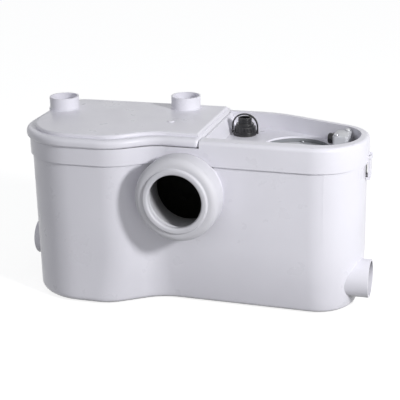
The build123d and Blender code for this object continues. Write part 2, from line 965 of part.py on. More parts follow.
def make_check_valve_body():
    socket_top = valve_low + valve_socket
    seat_top = socket_top + valve_seat
    seat_radius = riser_bore
    corners = (
        (riser_radius, valve_low, 0),
        (valve_neck_radius, valve_low, blunt),
        (valve_neck_radius, socket_top - valve_shoulder, 0),
        (valve_body_radius, seat_top, blunt),
        (valve_body_radius, valve_joint - valve_flange, 0),
        (valve_flange_radius, valve_joint - valve_flange, blunt),
        (valve_flange_radius, valve_joint, 0),
        (valve_chamber, valve_joint, 0),
        (valve_chamber, seat_top, 0),
        (seat_radius, seat_top, 0),
        (seat_radius, socket_top, 0),
        (riser_radius, socket_top, 0),
    )
    body = turned(corners, riser_axis)
    pivot_x = riser_x - check_hinge_inset
    lug_in = check_knuckle_half + slip
    lug_top = seat_top + check_hinge_rise + check_pin_radius + slip
    for way in (-1, 1):
        low = lug_in if way > 0 else -lug_in - check_lug_thick
        lug = block(pivot_x - check_pin_radius - slip, pivot_x + check_pin_radius + slip,
                    riser_y + low, riser_y + low + check_lug_thick,
                    seat_top - overrun, lug_top)
        body += lug
    return body - along_y(pivot_x, seat_top + check_hinge_rise, riser_y - check_pin_half,
                          riser_y + check_pin_half, check_pin_radius)


def make_check_valve_cap():
    socket_low = valve_cap_high - valve_cap_socket
    flange_top = valve_joint + valve_flange
    corners = (
        (valve_chamber, valve_joint, 0),
        (valve_flange_radius, valve_joint, 0),
        (valve_flange_radius, flange_top, blunt),
        (valve_body_radius, flange_top, 0),
        (valve_cap_neck, valve_cap_cone, 0),
        (valve_cap_neck, valve_cap_high, blunt),
        (connector_tail_radius, valve_cap_high, 0),
        (connector_tail_radius, socket_low, 0),
        (riser_bore, socket_low, 0),
        (riser_bore, valve_cap_cone - valve_flange, 0),
        (valve_chamber, valve_joint + valve_cap_rim, 0),
    )
    return turned(corners, riser_axis)


def make_check_flap():
    seat_top = valve_low + valve_socket + valve_seat
    face = seat_top + slip
    top = face + check_flap_thick
    pivot_x = riser_x - check_hinge_inset
    pivot_z = seat_top + check_hinge_rise
    disc = upright(riser_axis, face, top, check_flap_radius)
    knuckle = along_y(pivot_x, pivot_z, riser_y - check_knuckle_half,
                      riser_y + check_knuckle_half, check_knuckle)
    web = block(pivot_x, riser_x, riser_y - check_knuckle_half,
                riser_y + check_knuckle_half, face, top)
    flap = disc + knuckle + web
    return flap - along_y(pivot_x, pivot_z, riser_y - check_pin_half,
                          riser_y + check_pin_half, check_pin_radius + running_gap)


def make_check_pin():
    pivot_x = riser_x - check_hinge_inset
    pivot_z = valve_low + valve_socket + valve_seat + check_hinge_rise
    return along_y(pivot_x, pivot_z, riser_y - check_pin_half, riser_y + check_pin_half,
                   check_pin_radius)


def make_discharge_connector():
    """Black stepped outlet that stands in the tray, with its tail in the valve."""
    tail_low = valve_cap_high - valve_cap_socket
    flange_top = tray_floor + connector_seal_thick + connector_flange
    corners = (
        (connector_bore, tail_low, 0),
        (connector_tail_radius, tail_low, blunt),
        (connector_tail_radius, tray_floor + connector_seal_thick, 0),
        (connector_flange_radius, tray_floor + connector_seal_thick, 0),
        (connector_flange_radius, flange_top, connector_round),
        (connector_base_radius, flange_top, 0),
        (connector_base_radius, connector_base_top, connector_round),
        (connector_step_radius, connector_base_top, 0),
        (connector_step_radius, connector_step_top, connector_round),
        (connector_top_radius, connector_step_top, 0),
        (connector_top_radius, connector_top, connector_round),
        (connector_bore, connector_top, 0),
    )
    body = turned(corners, riser_axis)
    pivot_z = bail_pivot_z()
    blind = connector_flange_radius - bail_pin_depth
    left = along_x(riser_y, pivot_z, riser_x - connector_flange_radius - overrun,
                   riser_x - blind, bail_pin_radius + running_gap)
    right = along_x(riser_y, pivot_z, riser_x + blind,
                    riser_x + connector_flange_radius + overrun, bail_pin_radius + running_gap)
    return body - left - right


def bail_pivot_z():
    return tray_floor + connector_seal_thick + connector_flange / 2


def make_connector_seal():
    return ring(riser_axis, tray_floor, tray_floor + connector_seal_thick,
                connector_seal_radius, connector_tail_radius)


def make_connector_bail():
    """Arched bail over the connector, on two pins that turn in the connector's flange."""
    pivot_z = bail_pivot_z()
    inner_half = bail_half - bail_width
    low = pivot_z - bail_foot_drop
    outer = (
        (-bail_half, low, bail_foot_round),
        (bail_half, low, bail_foot_round),
        (bail_half, bail_top, bail_crown),
        (-bail_half, bail_top, bail_crown),
    )
    inner = (
        (-inner_half, low - overrun, 0),
        (inner_half, low - overrun, 0),
        (inner_half, bail_top - bail_width, bail_crown - bail_width),
        (-inner_half, bail_top - bail_width, bail_crown - bail_width),
    )
    arch = extrude(rounded_face(outer), bail_thick) - extrude(rounded_face(inner), bail_thick)
    arch = Pos(riser_x, riser_y + bail_thick / 2, 0) * Rot(90, 0, 0) * arch
    tip = connector_flange_radius - bail_pin_depth + bail_pin_gap
    left = along_x(riser_y, pivot_z, riser_x - inner_half - overlap, riser_x - tip,
                   bail_pin_radius)
    right = along_x(riser_y, pivot_z, riser_x + tip, riser_x + inner_half + overlap,
                    bail_pin_radius)
    return arch + left + right


# Pump
def scroll_edge(start_radius, end_radius):
    """Edge of the volute, a spiral of four quarter turns closed by its tongue."""
    quarters = 4
    edges = []
    for index in range(quarters):
        points = []
        for half in (0, 0.5, 1):
            share = (index + half) / quarters
            radius = start_radius + (end_radius - start_radius) * share
            angle = radians(scroll_tongue + 360 * share)
            points.append((pump_x + radius * cos(angle), pump_y + radius * sin(angle)))
        edges.append(ThreePointArc(*points))
    edges.append(Line(edges[-1] @ 1, edges[0] @ 0))
    return make_face(edges).face()


def make_pump_volute():
    outer = scroll_edge(scroll_start + volute_wall, scroll_end + volute_wall)
    inner = scroll_edge(scroll_start, scroll_end)
    case = slab(outer, volute_low, volute_high)
    foot = Vector(riser_x, riser_y)
    heading = nozzle_heading()
    nozzle_end = foot - heading * (riser_start - nozzle_overlap)
    pipe_stop = foot - heading * riser_start
    case += level_rod(nozzle_root(), nozzle_end, nozzle_z, nozzle_radius)
    for place in round_places(pump_axis, volute_foot_circle, volute_foot_count):
        case += upright(place, foot_proud + tank_wall, volute_low + overrun, volute_foot_radius)
    for place in pillar_places:
        case += upright(place, volute_high - lug_radius, volute_high, lug_radius)
        case += bridge_lug(place, volute_high - lug_radius, volute_high)
    case -= slab(inner, volute_low + volute_floor, volute_high + overrun)
    case -= level_rod(nozzle_root(), nozzle_end + heading * overrun, nozzle_z, riser_bore)
    case -= level_rod(pipe_stop, nozzle_end + heading * overrun, nozzle_z, riser_radius)
    for place in pillar_places:
        case -= upright(place, volute_high - lug_radius - overrun, volute_high + overrun,
                        pump_screw_radius)
    return case


def bridge_lug(place, low, high):
    """Web that ties a lug to the wall of the scroll."""
    centre = Vector(pump_x, pump_y)
    out = (Vector(*place) - centre).normalized()
    start = centre + out * scroll_end
    middle = (start + Vector(*place)) * (1 / 2)
    length = (Vector(*place) - start).length
    heading = degrees(atan2(out.Y, out.X))
    web = Box(length, lug_radius, high - low, align=upright_base)
    return Pos(middle.X, middle.Y, low) * Rot(0, 0, heading) * web


def make_volute_cover():
    plate = upright(pump_axis, volute_high, volute_lid_top, scroll_end + volute_wall)
    for place in pillar_places:
        plate += upright(place, volute_high, volute_lid_top, lug_radius)
        plate += bridge_lug(place, volute_high, volute_lid_top)
        plate -= upright(place, volute_high - overrun, volute_lid_top + overrun,
                         pump_screw_radius)
    return plate - upright(pump_axis, volute_high - overrun, volute_lid_top + overrun,
                           suction_eye)


def make_impeller():
    disc = upright(pump_axis, impeller_low, impeller_low + impeller_disc, impeller_radius)
    wheel = disc + upright(pump_axis, impeller_low, impeller_high, impeller_hub)
    tip = radians(vane_sweep)
    half_tip = tip / 2
    middle = (impeller_hub + impeller_radius) / 2
    reach = impeller_radius - vane_width / 2
    curve = ThreePointArc(
        (impeller_hub - overlap, 0),
        (middle * cos(half_tip / 2), -middle * sin(half_tip / 2)),
        (reach * cos(tip), -reach * sin(tip)),
    )
    vane = slab(trace(curve, vane_width).face(), impeller_low + impeller_disc / 2, impeller_high)
    for index in range(vane_count):
        turn = Rot(0, 0, index * 360 / vane_count)
        wheel += Pos(pump_x, pump_y, 0) * turn * vane
    return wheel - upright(pump_axis, impeller_low - overrun, impeller_high + overrun,
                           shaft_radius)


def make_impeller_nut():
    nut = slab(RegularPolygon(nut_radius, 6).face(), nut_low, impeller_low)
    nut = Pos(pump_x, pump_y, 0) * nut
    return nut - upright(pump_axis, nut_low - overrun, impeller_low + overrun, shaft_radius)


def make_cutter():
    """Two tiers of blades on one hub, each blade with an upturned tooth."""
    hub = upright(pump_axis, cutter_low, cutter_high, cutter_hub)
    for tier, level in enumerate(cutter_levels):
        blade = block(0, cutter_reach, -cutter_blade_width / 2, cutter_blade_width / 2,
                      level, level + cutter_blade_thick)
        tooth = block(cutter_reach - cutter_tooth_depth, cutter_reach,
                      -cutter_blade_width / 2, 0, level, level + cutter_tooth_height)
        arm = blade + tooth
        limit = upright((0, 0), level - overrun, level + cutter_tooth_height + overrun,
                        cutter_reach)
        arm = arm & limit
        for index in range(cutter_arms):
            angle = tier * cutter_stagger + index * 360 / cutter_arms
            hub += Pos(pump_x, pump_y, 0) * Rot(0, 0, angle) * arm
    return hub - upright(pump_axis, cutter_low - overrun, cutter_high + overrun, shaft_radius)


def make_grinder_basket():
    """Slotted basket that keeps solids with the blades until they are small enough."""
    corners = (
        (suction_eye, volute_lid_top, 0),
        (basket_radius, volute_lid_top, broad_round),
        (basket_radius, basket_high - basket_wall, 0),
        (basket_radius + basket_lip, basket_high - basket_wall, 0),
        (basket_radius + basket_lip, basket_high, blunt),
        (basket_radius - basket_wall, basket_high, 0),
        (basket_radius - basket_wall, volute_lid_top + basket_wall, 0),
        (suction_eye, volute_lid_top + basket_wall, 0),
    )
    basket = turned(corners)
    slot = block(basket_radius - basket_wall - overrun, basket_radius + overrun,
                 -basket_slot_width / 2, basket_slot_width / 2,
                 basket_slot_low, basket_slot_high)
    slots = [Rot(0, 0, (index + 1 / 2) * 360 / basket_slot_count) * slot
             for index in range(basket_slot_count)]
    return Pos(pump_x, pump_y, 0) * (basket - slots)


def make_pump_pillars():
    """Four posts that hang the pump from the floor of the motor chamber."""
    posts = []
    for place in pillar_places:
        post = upright(place, volute_lid_top, chamber_low, pillar_radius)
        post += upright(place, chamber_low, chamber_low + lug_radius, pump_screw_radius)
        bore_top = volute_lid_top + pump_screw_length - volute_lid
        posts.append(post - upright(place, volute_lid_top - overrun, bore_top,
                                    pump_screw_radius))
    return posts


def make_pump_screws():
    """Screws from below through the volute's lugs into the posts."""
    screws = []
    for place in pillar_places:
        under = volute_high - lug_radius
        shank_top = volute_lid_top + pump_screw_length - volute_lid
        head = upright(place, under - pump_screw_height, under, pump_screw_head)
        screws.append(head + upright(place, under, shank_top, pump_screw_radius))
    return screws


# Motor
def make_motor_chamber():
    """Dry cup under the tray that holds the motor above the waste."""
    floor_top = chamber_low + chamber_floor
    outer = chamber_radius
    upper = well_radius + tray_thick
    step = chamber_ledge - 2 * chamber_step
    corners = (
        (seal_radius, seal_boss_low, 0),
        (seal_boss_radius, seal_boss_low, blunt),
        (seal_boss_radius, chamber_low, 0),
        (outer, chamber_low, broad_round),
        (outer, step, 0),
        (upper, step + chamber_step, 0),
        (upper, chamber_top - chamber_flange, 0),
        (chamber_flange_radius, chamber_top - chamber_flange, 0),
        (chamber_flange_radius, chamber_top, 0),
        (well_radius, chamber_top, 0),
        (well_radius, chamber_ledge, 0),
        (chamber_bore, chamber_ledge, 0),
        (chamber_bore, floor_top, 0),
        (shaft_radius + slip, floor_top, 0),
        (shaft_radius + slip, seal_high, 0),
        (seal_radius, seal_high, 0),
    )
    cup = turned(corners, pump_axis)
    for place in pillar_places:
        lug = upright(place, chamber_low, chamber_low + lug_radius, lug_radius)
        lug -= upright(pump_axis, chamber_low - overrun, chamber_top, chamber_bore + overlap)
        cup += lug - upright(place, chamber_low - overrun, chamber_top, pump_screw_radius)
    for place in round_places(pump_axis, chamber_screw_circle, chamber_screw_count):
        cup -= upright(place, chamber_top - chamber_flange - overrun, chamber_top + overrun,
                       screw_radius)
    for place in cover_screw_places():
        cup -= upright(place, chamber_ledge - cover_screw_length, chamber_ledge + overrun,
                       cover_screw_radius)
    return cup


def cover_screw_places():
    return round_places(pump_axis, cover_screw_circle, cover_screw_count, 90.0)


def make_chamber_screws():
    """Screws from below through the chamber's flange into the tray floor."""
    screws = []
    under = chamber_top - chamber_flange
    for place in round_places(pump_axis, chamber_screw_circle, chamber_screw_count):
        head = upright(place, under - screw_head_height, under, chamber_screw_head)
        shank = upright(place, under, chamber_top + chamber_screw_bite, screw_radius)
        screws.append(head + shank)
    return screws


def make_shaft_seal():
    return ring(pump_axis, seal_boss_low, seal_high, seal_radius, shaft_radius + running_gap)


def make_motor_flange():
    """Lower end bell, bolted to the chamber floor, with the lower bearing's seat."""
    floor_top = chamber_low + chamber_floor
    pocket_low = floor_top + end_bell_floor
    plate = upright(pump_axis, floor_top, flange_high, motor_radius)
    plate -= ring(pump_axis, pocket_low, flange_high + overrun, motor_radius - end_bell_rim,
                  bearing_boss)
    plate -= upright(pump_axis, lower_bearing_low, flange_high + overrun, bearing_radius)
    return plate - upright(pump_axis, floor_top - overrun, flange_high, shaft_radius + slip)


def make_bearing(low):
    """Ball bearing as one ring, grooved between its races on both faces."""
    high = low + bearing_height
    body = ring(pump_axis, low, high, bearing_radius, shaft_radius + running_gap)
    groove_out = bearing_radius - bearing_race
    groove_in = shaft_radius + bearing_race
    body -= ring(pump_axis, low - overrun, low + bearing_groove, groove_out, groove_in)
    return body - ring(pump_axis, high - bearing_groove, high + overrun, groove_out, groove_in)


def make_motor_can():
    """Drawn steel can with a rounded crown and the upper bearing's seat inside."""
    inner = motor_radius - motor_wall
    ceiling = motor_high - motor_wall
    corners = (
        (inner, flange_high, 0),
        (motor_radius, flange_high, 0),
        (motor_radius, motor_high, motor_round),
        (0, motor_high, 0),
        (0, ceiling, 0),
        (bearing_radius, ceiling, 0),
        (bearing_radius, upper_bearing_low, 0),
        (bearing_boss, upper_bearing_low, 0),
        (bearing_boss, ceiling, 0),
        (inner, ceiling, motor_round - motor_wall),
    )
    return turned(corners, pump_axis)


def make_stator_core():
    core = ring(pump_axis, stator_low, stator_high, motor_radius - motor_wall, stator_bore)
    slot = block(stator_bore - overrun, stator_bore + stator_slot_depth,
                 -stator_slot_width / 2, stator_slot_width / 2,
                 stator_low - overrun, stator_high + overrun)
    slots = [Pos(pump_x, pump_y, 0) * Rot(0, 0, index * 360 / stator_slots) * slot
             for index in range(stator_slots)]
    return core - slots


def make_stator_windings():
    """Rounded end turns above and below the stator core."""
    coils = []
    for low in (stator_low - winding_height, stator_high):
        corners = (
            (winding_inner, low, winding_round),
            (winding_outer, low, winding_round),
            (winding_outer, low + winding_height, winding_round),
            (winding_inner, low + winding_height, winding_round),
        )
        coils.append(turned(corners, pump_axis))
    return coils


def make_rotor_core():
    core = upright(pump_axis, rotor_low, rotor_high, rotor_radius)
    core = chamfer(core.edges().filter_by(GeomType.CIRCLE), blunt)
    return core - upright(pump_axis, rotor_low - overrun, rotor_high + overrun, rotor_journal)


def make_motor_shaft():
    shaft = upright(pump_axis, nut_low, shaft_top, shaft_radius)
    shaft = chamfer(shaft.edges().filter_by(GeomType.CIRCLE), fine_edge)
    return shaft + upright(pump_axis, rotor_low, rotor_high, rotor_journal)


def make_motor_cover():
    """Round plate that closes the motor chamber, set down in the tray floor."""
    high = chamber_ledge + motor_cover_thick
    plate = upright(pump_axis, chamber_ledge, high, motor_cover_radius)
    plate = fillet(plate.edges().filter_by(GeomType.CIRCLE).sort_by(Axis.Z)[-1], blunt)
    plate -= upright(pump_axis, high - motor_cover_dish_depth, high + overrun, motor_cover_dish)
    for place in cover_screw_places():
        plate -= upright(place, chamber_ledge - overrun, high + overrun, cover_screw_radius)
    return plate


def make_motor_cover_screws():
    high = chamber_ledge + motor_cover_thick
    return [screw(place, high, cover_screw_length, cover_screw_radius, cover_screw_head,
                  screw_head_height)
            for place in cover_screw_places()]


def make_capacitor():
    """Start capacitor lying on the motor's crown."""
    z = motor_high + capacitor_radius
    low = pump_x - capacitor_length / 2
    y = pump_y + capacitor_y
    can = along_x(y, z, low, low + capacitor_length, capacitor_radius)
    can = fillet(can.edges().filter_by(GeomType.CIRCLE), blunt)
    return can + along_x(y, z, low - capacitor_cap, low + overlap, capacitor_radius / 2)


# Level switch
def make_pressure_bell():
    """Open-bottomed bell in which trapped air rises with the waste level."""
    inner = bell_radius - bell_wall
    corners = (
        (inner, bell_low, 0),
        (bell_radius, bell_low, blunt),
        (bell_radius, bell_high, 0),
        (bell_flange_radius, bell_high, 0),
        (bell_flange_radius, bell_high + bell_flange, 0),
        (inner, bell_high + bell_flange, 0),
    )
    return turned(corners, switch_axis)


def make_diaphragm():
    low = bell_high + bell_flange
    disc = upright(switch_axis, low, low + diaphragm_thick, bell_flange_radius)
    dish = ring(switch_axis, low + diaphragm_thick / 2, low + diaphragm_thick + overrun,
                diaphragm_dish, plunger_head)
    return disc - dish


def make_switch_housing():
    """Capsule between the diaphragm and the tray floor."""
    low = bell_high + bell_flange + diaphragm_thick
    inner = bell_flange_radius - switch_case_wall
    case = upright(switch_axis, low, chamber_top, bell_flange_radius)
    case -= upright(switch_axis, low - overrun, chamber_top - switch_case_wall, inner)
    guide = ring(switch_axis, guide_low, guide_low + guide_thick, inner + overlap,
                 plunger_radius + running_gap)
    vent = block(switch_x - inner, switch_x - plunger_head, switch_y - plunger_head,
                 switch_y + plunger_head, guide_low - overrun, guide_low + guide_thick + overrun)
    return case + (guide - vent)


def make_switch_plunger():
    low = bell_high + bell_flange + diaphragm_thick + slip
    head = upright(switch_axis, low, low + plunger_head_thick, plunger_head)
    return head + upright(switch_axis, low, plunger_top, plunger_radius)


def make_plunger_spring():
    """Coil spring between the plunger's head and the guide above it."""
    low = bell_high + bell_flange + diaphragm_thick + slip + plunger_head_thick
    start = low + spring_wire / 2
    rise = guide_low - low - spring_wire
    path = Helix(rise / spring_turns, rise, spring_radius)
    wire = sweep(Plane(origin=path @ 0, z_dir=path % 0) * Circle(spring_wire / 2), path=path)
    return Pos(switch_x, switch_y, start) * wire


def make_microswitch():
    low = plunger_top + plunger_travel + slip
    high = low + micro_height
    body = block(switch_x - micro_length / 2, switch_x + micro_length / 2,
                 switch_y - micro_width / 2, switch_y + micro_width / 2, low, high)
    return fillet(body.edges().filter_by(Axis.Z), blunt)


# Tray fittings
def box_outline():
    return (
        (box_left, box_front, box_round),
        (box_right, box_front, box_round),
        (box_right, box_back, box_round),
        (box_left, box_back, box_round),
    )


def make_terminal_box():
    outline = box_outline()
    case = slab(rounded_face(outline), tray_floor, box_high)
    inside = moved_in(outline, [box_wall] * len(outline))
    case -= slab(rounded_face(inside), tray_floor + box_wall, box_high + overrun)
    case -= along_x(gland_y, gland_z, box_left - overrun, box_left + 2 * box_wall,
                    gland_thread)
    for place in box_screw_places():
        case += upright(place, tray_floor + box_wall, box_high, screw_head_radius)
        case -= upright(place, tray_floor + box_wall, box_high + overrun, screw_radius)
    return case


def box_screw_places():
    return (
        (box_left + box_screw_inset, box_front + box_screw_inset),
        (box_right - box_screw_inset, box_back - box_screw_inset),
    )


def make_terminal_box_cover():
    lid = slab(rounded_face(box_outline()), box_high, box_high + box_lid)
    lid = fillet(lid.faces().sort_by(Axis.Z)[-1].edges(), blunt)
    for place in box_screw_places():
        lid -= upright(place, box_high - overrun, box_high + box_lid + overrun, screw_radius)
    return lid


def make_terminal_screws():
    return [screw(place, box_high + box_lid, box_screw_length, screw_radius,
                  screw_head_radius, screw_head_height)
            for place in box_screw_places()]


def gland_frame():
    """Place of the cable gland: on the box's left wall, its own +Z pointing out along -X."""
    return Pos(box_left, gland_y, gland_z) * Rot(0, -90, 0)


def hexagon(radius, low, high):
    return slab(RegularPolygon(radius, 6, rotation=180 / 6).face(), low, high)


def make_cable_gland():
    """Threaded body through the box wall with its hexagon and dome outside."""
    inner = -box_wall - gland_nut_thick - gland_thread_proud
    corners = (
        (gland_bore, inner, 0),
        (gland_thread, inner, blunt),
        (gland_thread, gland_hex_thick / 2, 0),
        (gland_dome_radius, gland_hex_thick / 2, 0),
        (gland_dome_radius, gland_dome_length, gland_round),
        (gland_bore, gland_dome_length, blunt),
    )
    body = turned(corners) + (hexagon(gland_hex, 0, gland_hex_thick)
                              - upright((0, 0), -overrun, gland_hex_thick + overrun,
                                        gland_core))
    return gland_frame() * body


def make_gland_nut():
    low = -box_wall - gland_nut_thick
    nut = hexagon(gland_hex, low, -box_wall)
    return gland_frame() * (nut - upright((0, 0), low - overrun, 0, gland_thread))


def all_pieces():
    """Every piece of the pump under the name that a fitter would use."""
    pieces = {
        "tank": make_tank(),
        "top_housing": make_top_housing(),
        "housing_gasket": make_housing_gasket(),
        "housing_screws": make_housing_screws(),
        "end_clip": make_end_clip(),
        "clip_pin": make_clip_pin(),
        "rubber_feet": make_rubber_feet(),
        "chamber_cover": make_chamber_cover(),
        "cover_seal": make_cover_seal(),
        "vent_cap": make_vent_cap(),
        "vent_filter": make_vent_filter(),
        "pan_boot": make_pan_boot(),
        "boot_ring": make_boot_ring(),
        "riser_pipe": make_riser_pipe(),
        "check_valve_body": make_check_valve_body(),
        "check_valve_cap": make_check_valve_cap(),
        "check_flap": make_check_flap(),
        "check_pin": make_check_pin(),
        "discharge_connector": make_discharge_connector(),
        "connector_seal": make_connector_seal(),
        "connector_bail": make_connector_bail(),
        "pump_volute": make_pump_volute(),
        "volute_cover": make_volute_cover(),
        "impeller": make_impeller(),
        "impeller_nut": make_impeller_nut(),
        "cutter": make_cutter(),
        "grinder_basket": make_grinder_basket(),
        "pump_pillars": make_pump_pillars(),
        "pump_screws": make_pump_screws(),
        "motor_chamber": make_motor_chamber(),
        "chamber_screws": make_chamber_screws(),
        "shaft_seal": make_shaft_seal(),
        "motor_flange": make_motor_flange(),
        "lower_bearing": make_bearing(lower_bearing_low),
        "upper_bearing": make_bearing(upper_bearing_low),
        "motor_can": make_motor_can(),
        "stator_core": make_stator_core(),
        "stator_windings": make_stator_windings(),
        "rotor_core": make_rotor_core(),
        "motor_shaft": make_motor_shaft(),
        "motor_cover": make_motor_cover(),
        "motor_cover_screws": make_motor_cover_screws(),
        "capacitor": make_capacitor(),
        "pressure_bell": make_pressure_bell(),
        "diaphragm": make_diaphragm(),
        "switch_housing": make_switch_housing(),
        "switch_plunger": make_switch_plunger(),
        "plunger_spring": make_plunger_spring(),
        "microswitch": make_microswitch(),
        "terminal_box": make_terminal_box(),
        "terminal_box_cover": make_terminal_box_cover(),
        "terminal_screws": make_terminal_screws(),
        "cable_gland": make_cable_gland(),
        "gland_nut": make_gland_nut(),
    }
    sides = (("left", -1, left_spout_y, left_spout_z), ("right", 1, right_spout_y, right_spout_z))
    for name, side, y, z in sides:
        pieces[name + "_valve_seat"] = make_valve_seat(side, y, z)
        pieces[name + "_valve_flap"] = make_valve_flap(side, y, z)
        pieces[name + "_valve_pin"] = make_valve_pin(side, y, z)
    return pieces


os.makedirs("parts", exist_ok=True)
for node, shape in all_pieces().items():
    if isinstance(shape, list):
        shape = Compound(children=shape)
    export_step(shape, "parts/" + node + ".step")
    print(node, "volume", round(shape.volume))
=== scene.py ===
# %% [markdown]
# # A macerator toilet pump, dressed in cells
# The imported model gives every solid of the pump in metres, standing on the floor under the
# middle of the pump. This lesson keeps the solids whose shape is right, swaps the small
# pieces that the eye is drawn to for finer ones, and gives each surface its own finish.

# %% Load the frame
import bmesh
import bpy
import json
from math import cos, pi, radians, sin
from mathutils import Matrix, Vector


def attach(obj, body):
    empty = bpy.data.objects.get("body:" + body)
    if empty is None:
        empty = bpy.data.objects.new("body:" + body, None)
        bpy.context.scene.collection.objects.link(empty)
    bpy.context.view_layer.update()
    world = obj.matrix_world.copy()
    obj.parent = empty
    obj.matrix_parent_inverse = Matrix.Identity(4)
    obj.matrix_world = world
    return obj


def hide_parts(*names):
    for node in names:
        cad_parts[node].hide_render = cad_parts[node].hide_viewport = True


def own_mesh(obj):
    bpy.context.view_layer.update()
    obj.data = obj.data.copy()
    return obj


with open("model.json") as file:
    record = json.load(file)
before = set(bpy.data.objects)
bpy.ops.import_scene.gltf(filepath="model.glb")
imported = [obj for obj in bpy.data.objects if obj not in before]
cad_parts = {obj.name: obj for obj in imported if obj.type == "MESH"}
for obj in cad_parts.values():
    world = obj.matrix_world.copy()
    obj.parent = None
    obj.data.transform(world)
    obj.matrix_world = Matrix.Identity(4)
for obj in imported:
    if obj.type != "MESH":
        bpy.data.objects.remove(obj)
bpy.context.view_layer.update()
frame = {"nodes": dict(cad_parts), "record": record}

# %% [markdown]
# ## The view
# The photograph looks down a little from the front right, with a long lens. A camera is a
# point, three directions and a lens, so it is built straight from those: the direction
# from the pump to the camera, then right and up, turned by the small tilt of the picture.

# %% Camera
view_turn, view_rise, view_tilt = radians(17.0), radians(19.5), radians(-1.35)
view_target, view_reach = Vector((0.00475, -0.002, 0.135)), 1.64
film_width, lens_length, lens_shift = 36.0, 99.0, 0.0125
outward = Vector((sin(view_turn) * cos(view_rise), -cos(view_turn) * cos(view_rise),
                  sin(view_rise)))
level_right = (-outward).cross(Vector((0, 0, 1))).normalized()
level_up = level_right.cross(-outward)
right = level_right * cos(view_tilt) + level_up * sin(view_tilt)
up = level_up * cos(view_tilt) - level_right * sin(view_tilt)
lens_data = bpy.data.cameras.new("studio_camera")
lens_data.sensor_width, lens_data.lens = film_width, lens_length
lens_data.shift_y = lens_shift
camera = bpy.data.objects.new("studio_camera", lens_data)
turn = Matrix((right, up, outward)).transposed().to_4x4()
camera.matrix_world = Matrix.Translation(view_target + outward * view_reach) @ turn
bpy.context.scene.collection.objects.link(camera)
bpy.context.scene.camera = camera
bpy.context.scene.view_settings.view_transform = "Standard"
print("camera at", tuple(round(v, 3) for v in camera.location))

# %% [markdown]
# ## Light and floor
# The pump stands on white paper. A round lamp stands in for a window at the right. It is
# small, so the pan inlet throws a fairly sharp shade on the left lobe, and near, so the
# light falls off towards the left end. A broad faint screen fills the front, and the room
# itself is dim. The paper must look white to the camera but must not throw that light on
# the pump, so its glow is given to camera, mirror and clear rays alone, and it keeps the
# pump's shadow.


# %% Helpers for shaders
def add_node(tree, kind, **settings):
    """A shader node with its sockets and settings filled in by name."""
    made = tree.nodes.new(kind)
    for name, value in settings.items():
        socket_name = name.replace("_", " ")
        if socket_name in made.inputs:
            made.inputs[socket_name].default_value = value
        else:
            setattr(made, name, value)
    return made


def seen_ray(tree):
    """1 for rays from the camera, and for those by way of a mirror or clear glass."""
    path = add_node(tree, "ShaderNodeLightPath")
    first = add_node(tree, "ShaderNodeMath", operation="MAXIMUM")
    tree.links.new(path.outputs["Is Camera Ray"], first.inputs[0])
    tree.links.new(path.outputs["Is Glossy Ray"], first.inputs[1])
    second = add_node(tree, "ShaderNodeMath", operation="MAXIMUM")
    tree.links.new(first.outputs[0], second.inputs[0])
    tree.links.new(path.outputs["Is Transmission Ray"], second.inputs[1])
    return second.outputs[0]


# %% World, lamp and paper floor
room_light, paper_tone, paper_glow = 0.32, 0.38, 0.84
world = bpy.data.worlds.new("studio_room")
world.use_nodes = True
bpy.context.scene.world = world
room = world.node_tree
room.nodes.clear()
dim = add_node(room, "ShaderNodeBackground", Color=(0.95, 0.97, 1.0, 1), Strength=room_light)
bright = add_node(room, "ShaderNodeBackground", Color=(1, 1, 1, 1), Strength=1.0)
pick = add_node(room, "ShaderNodeMixShader")
room_out = add_node(room, "ShaderNodeOutputWorld")
room.links.new(seen_ray(room), pick.inputs[0])
room.links.new(dim.outputs[0], pick.inputs[1])
room.links.new(bright.outputs[0], pick.inputs[2])
room.links.new(pick.outputs[0], room_out.inputs[0])

window_place, window_aim = Vector((1.38, -0.80, 0.92)), Vector((0, 0, 0.13))
window_width, window_watts = 0.24, 22.0
window = bpy.data.lights.new("right_window", "AREA")
window.shape, window.size, window.energy = "DISK", window_width, window_watts
window_object = bpy.data.objects.new("right_window", window)
window_object.location = window_place
window_object.rotation_euler = (window_place - window_aim).to_track_quat("Z", "Y").to_euler()
bpy.context.scene.collection.objects.link(window_object)

screen_from, screen_strength, screen_spread = Vector((0.2, -0.93, 0.3)), 0.40, radians(70)
screen = bpy.data.lights.new("front_screen", "SUN")
screen.energy, screen.angle = screen_strength, screen_spread
screen_object = bpy.data.objects.new("front_screen", screen)
screen_object.rotation_euler = screen_from.to_track_quat("Z", "Y").to_euler()
bpy.context.scene.collection.objects.link(screen_object)

paper = bpy.data.materials.new("paper_floor")
paper.use_nodes = True
sheet = paper.node_tree
sheet.nodes.clear()
matt = add_node(sheet, "ShaderNodeBsdfDiffuse", Color=(paper_tone,) * 3 + (1,))
glow = add_node(sheet, "ShaderNodeEmission", Color=(1, 1, 1, 1))
lift = add_node(sheet, "ShaderNodeMath", operation="MULTIPLY")
lift.inputs[1].default_value = paper_glow
both = add_node(sheet, "ShaderNodeAddShader")
sheet_out = add_node(sheet, "ShaderNodeOutputMaterial")
sheet.links.new(seen_ray(sheet), lift.inputs[0])
sheet.links.new(lift.outputs[0], glow.inputs["Strength"])
sheet.links.new(matt.outputs[0], both.inputs[0])
sheet.links.new(glow.outputs[0], both.inputs[1])
sheet.links.new(both.outputs[0], sheet_out.inputs[0])
floor_half = 20.0
floor_bm = bmesh.new()
bmesh.ops.create_grid(floor_bm, x_segments=1, y_segments=1, size=floor_half)
floor_mesh = bpy.data.meshes.new("paper_floor")
floor_bm.to_mesh(floor_mesh)
floor_bm.free()
floor_object = bpy.data.objects.new("paper_floor", floor_mesh)
floor_mesh.materials.append(paper)
bpy.context.scene.collection.objects.link(floor_object)
print("room", room_light, "window", window_watts, "paper", paper_tone)

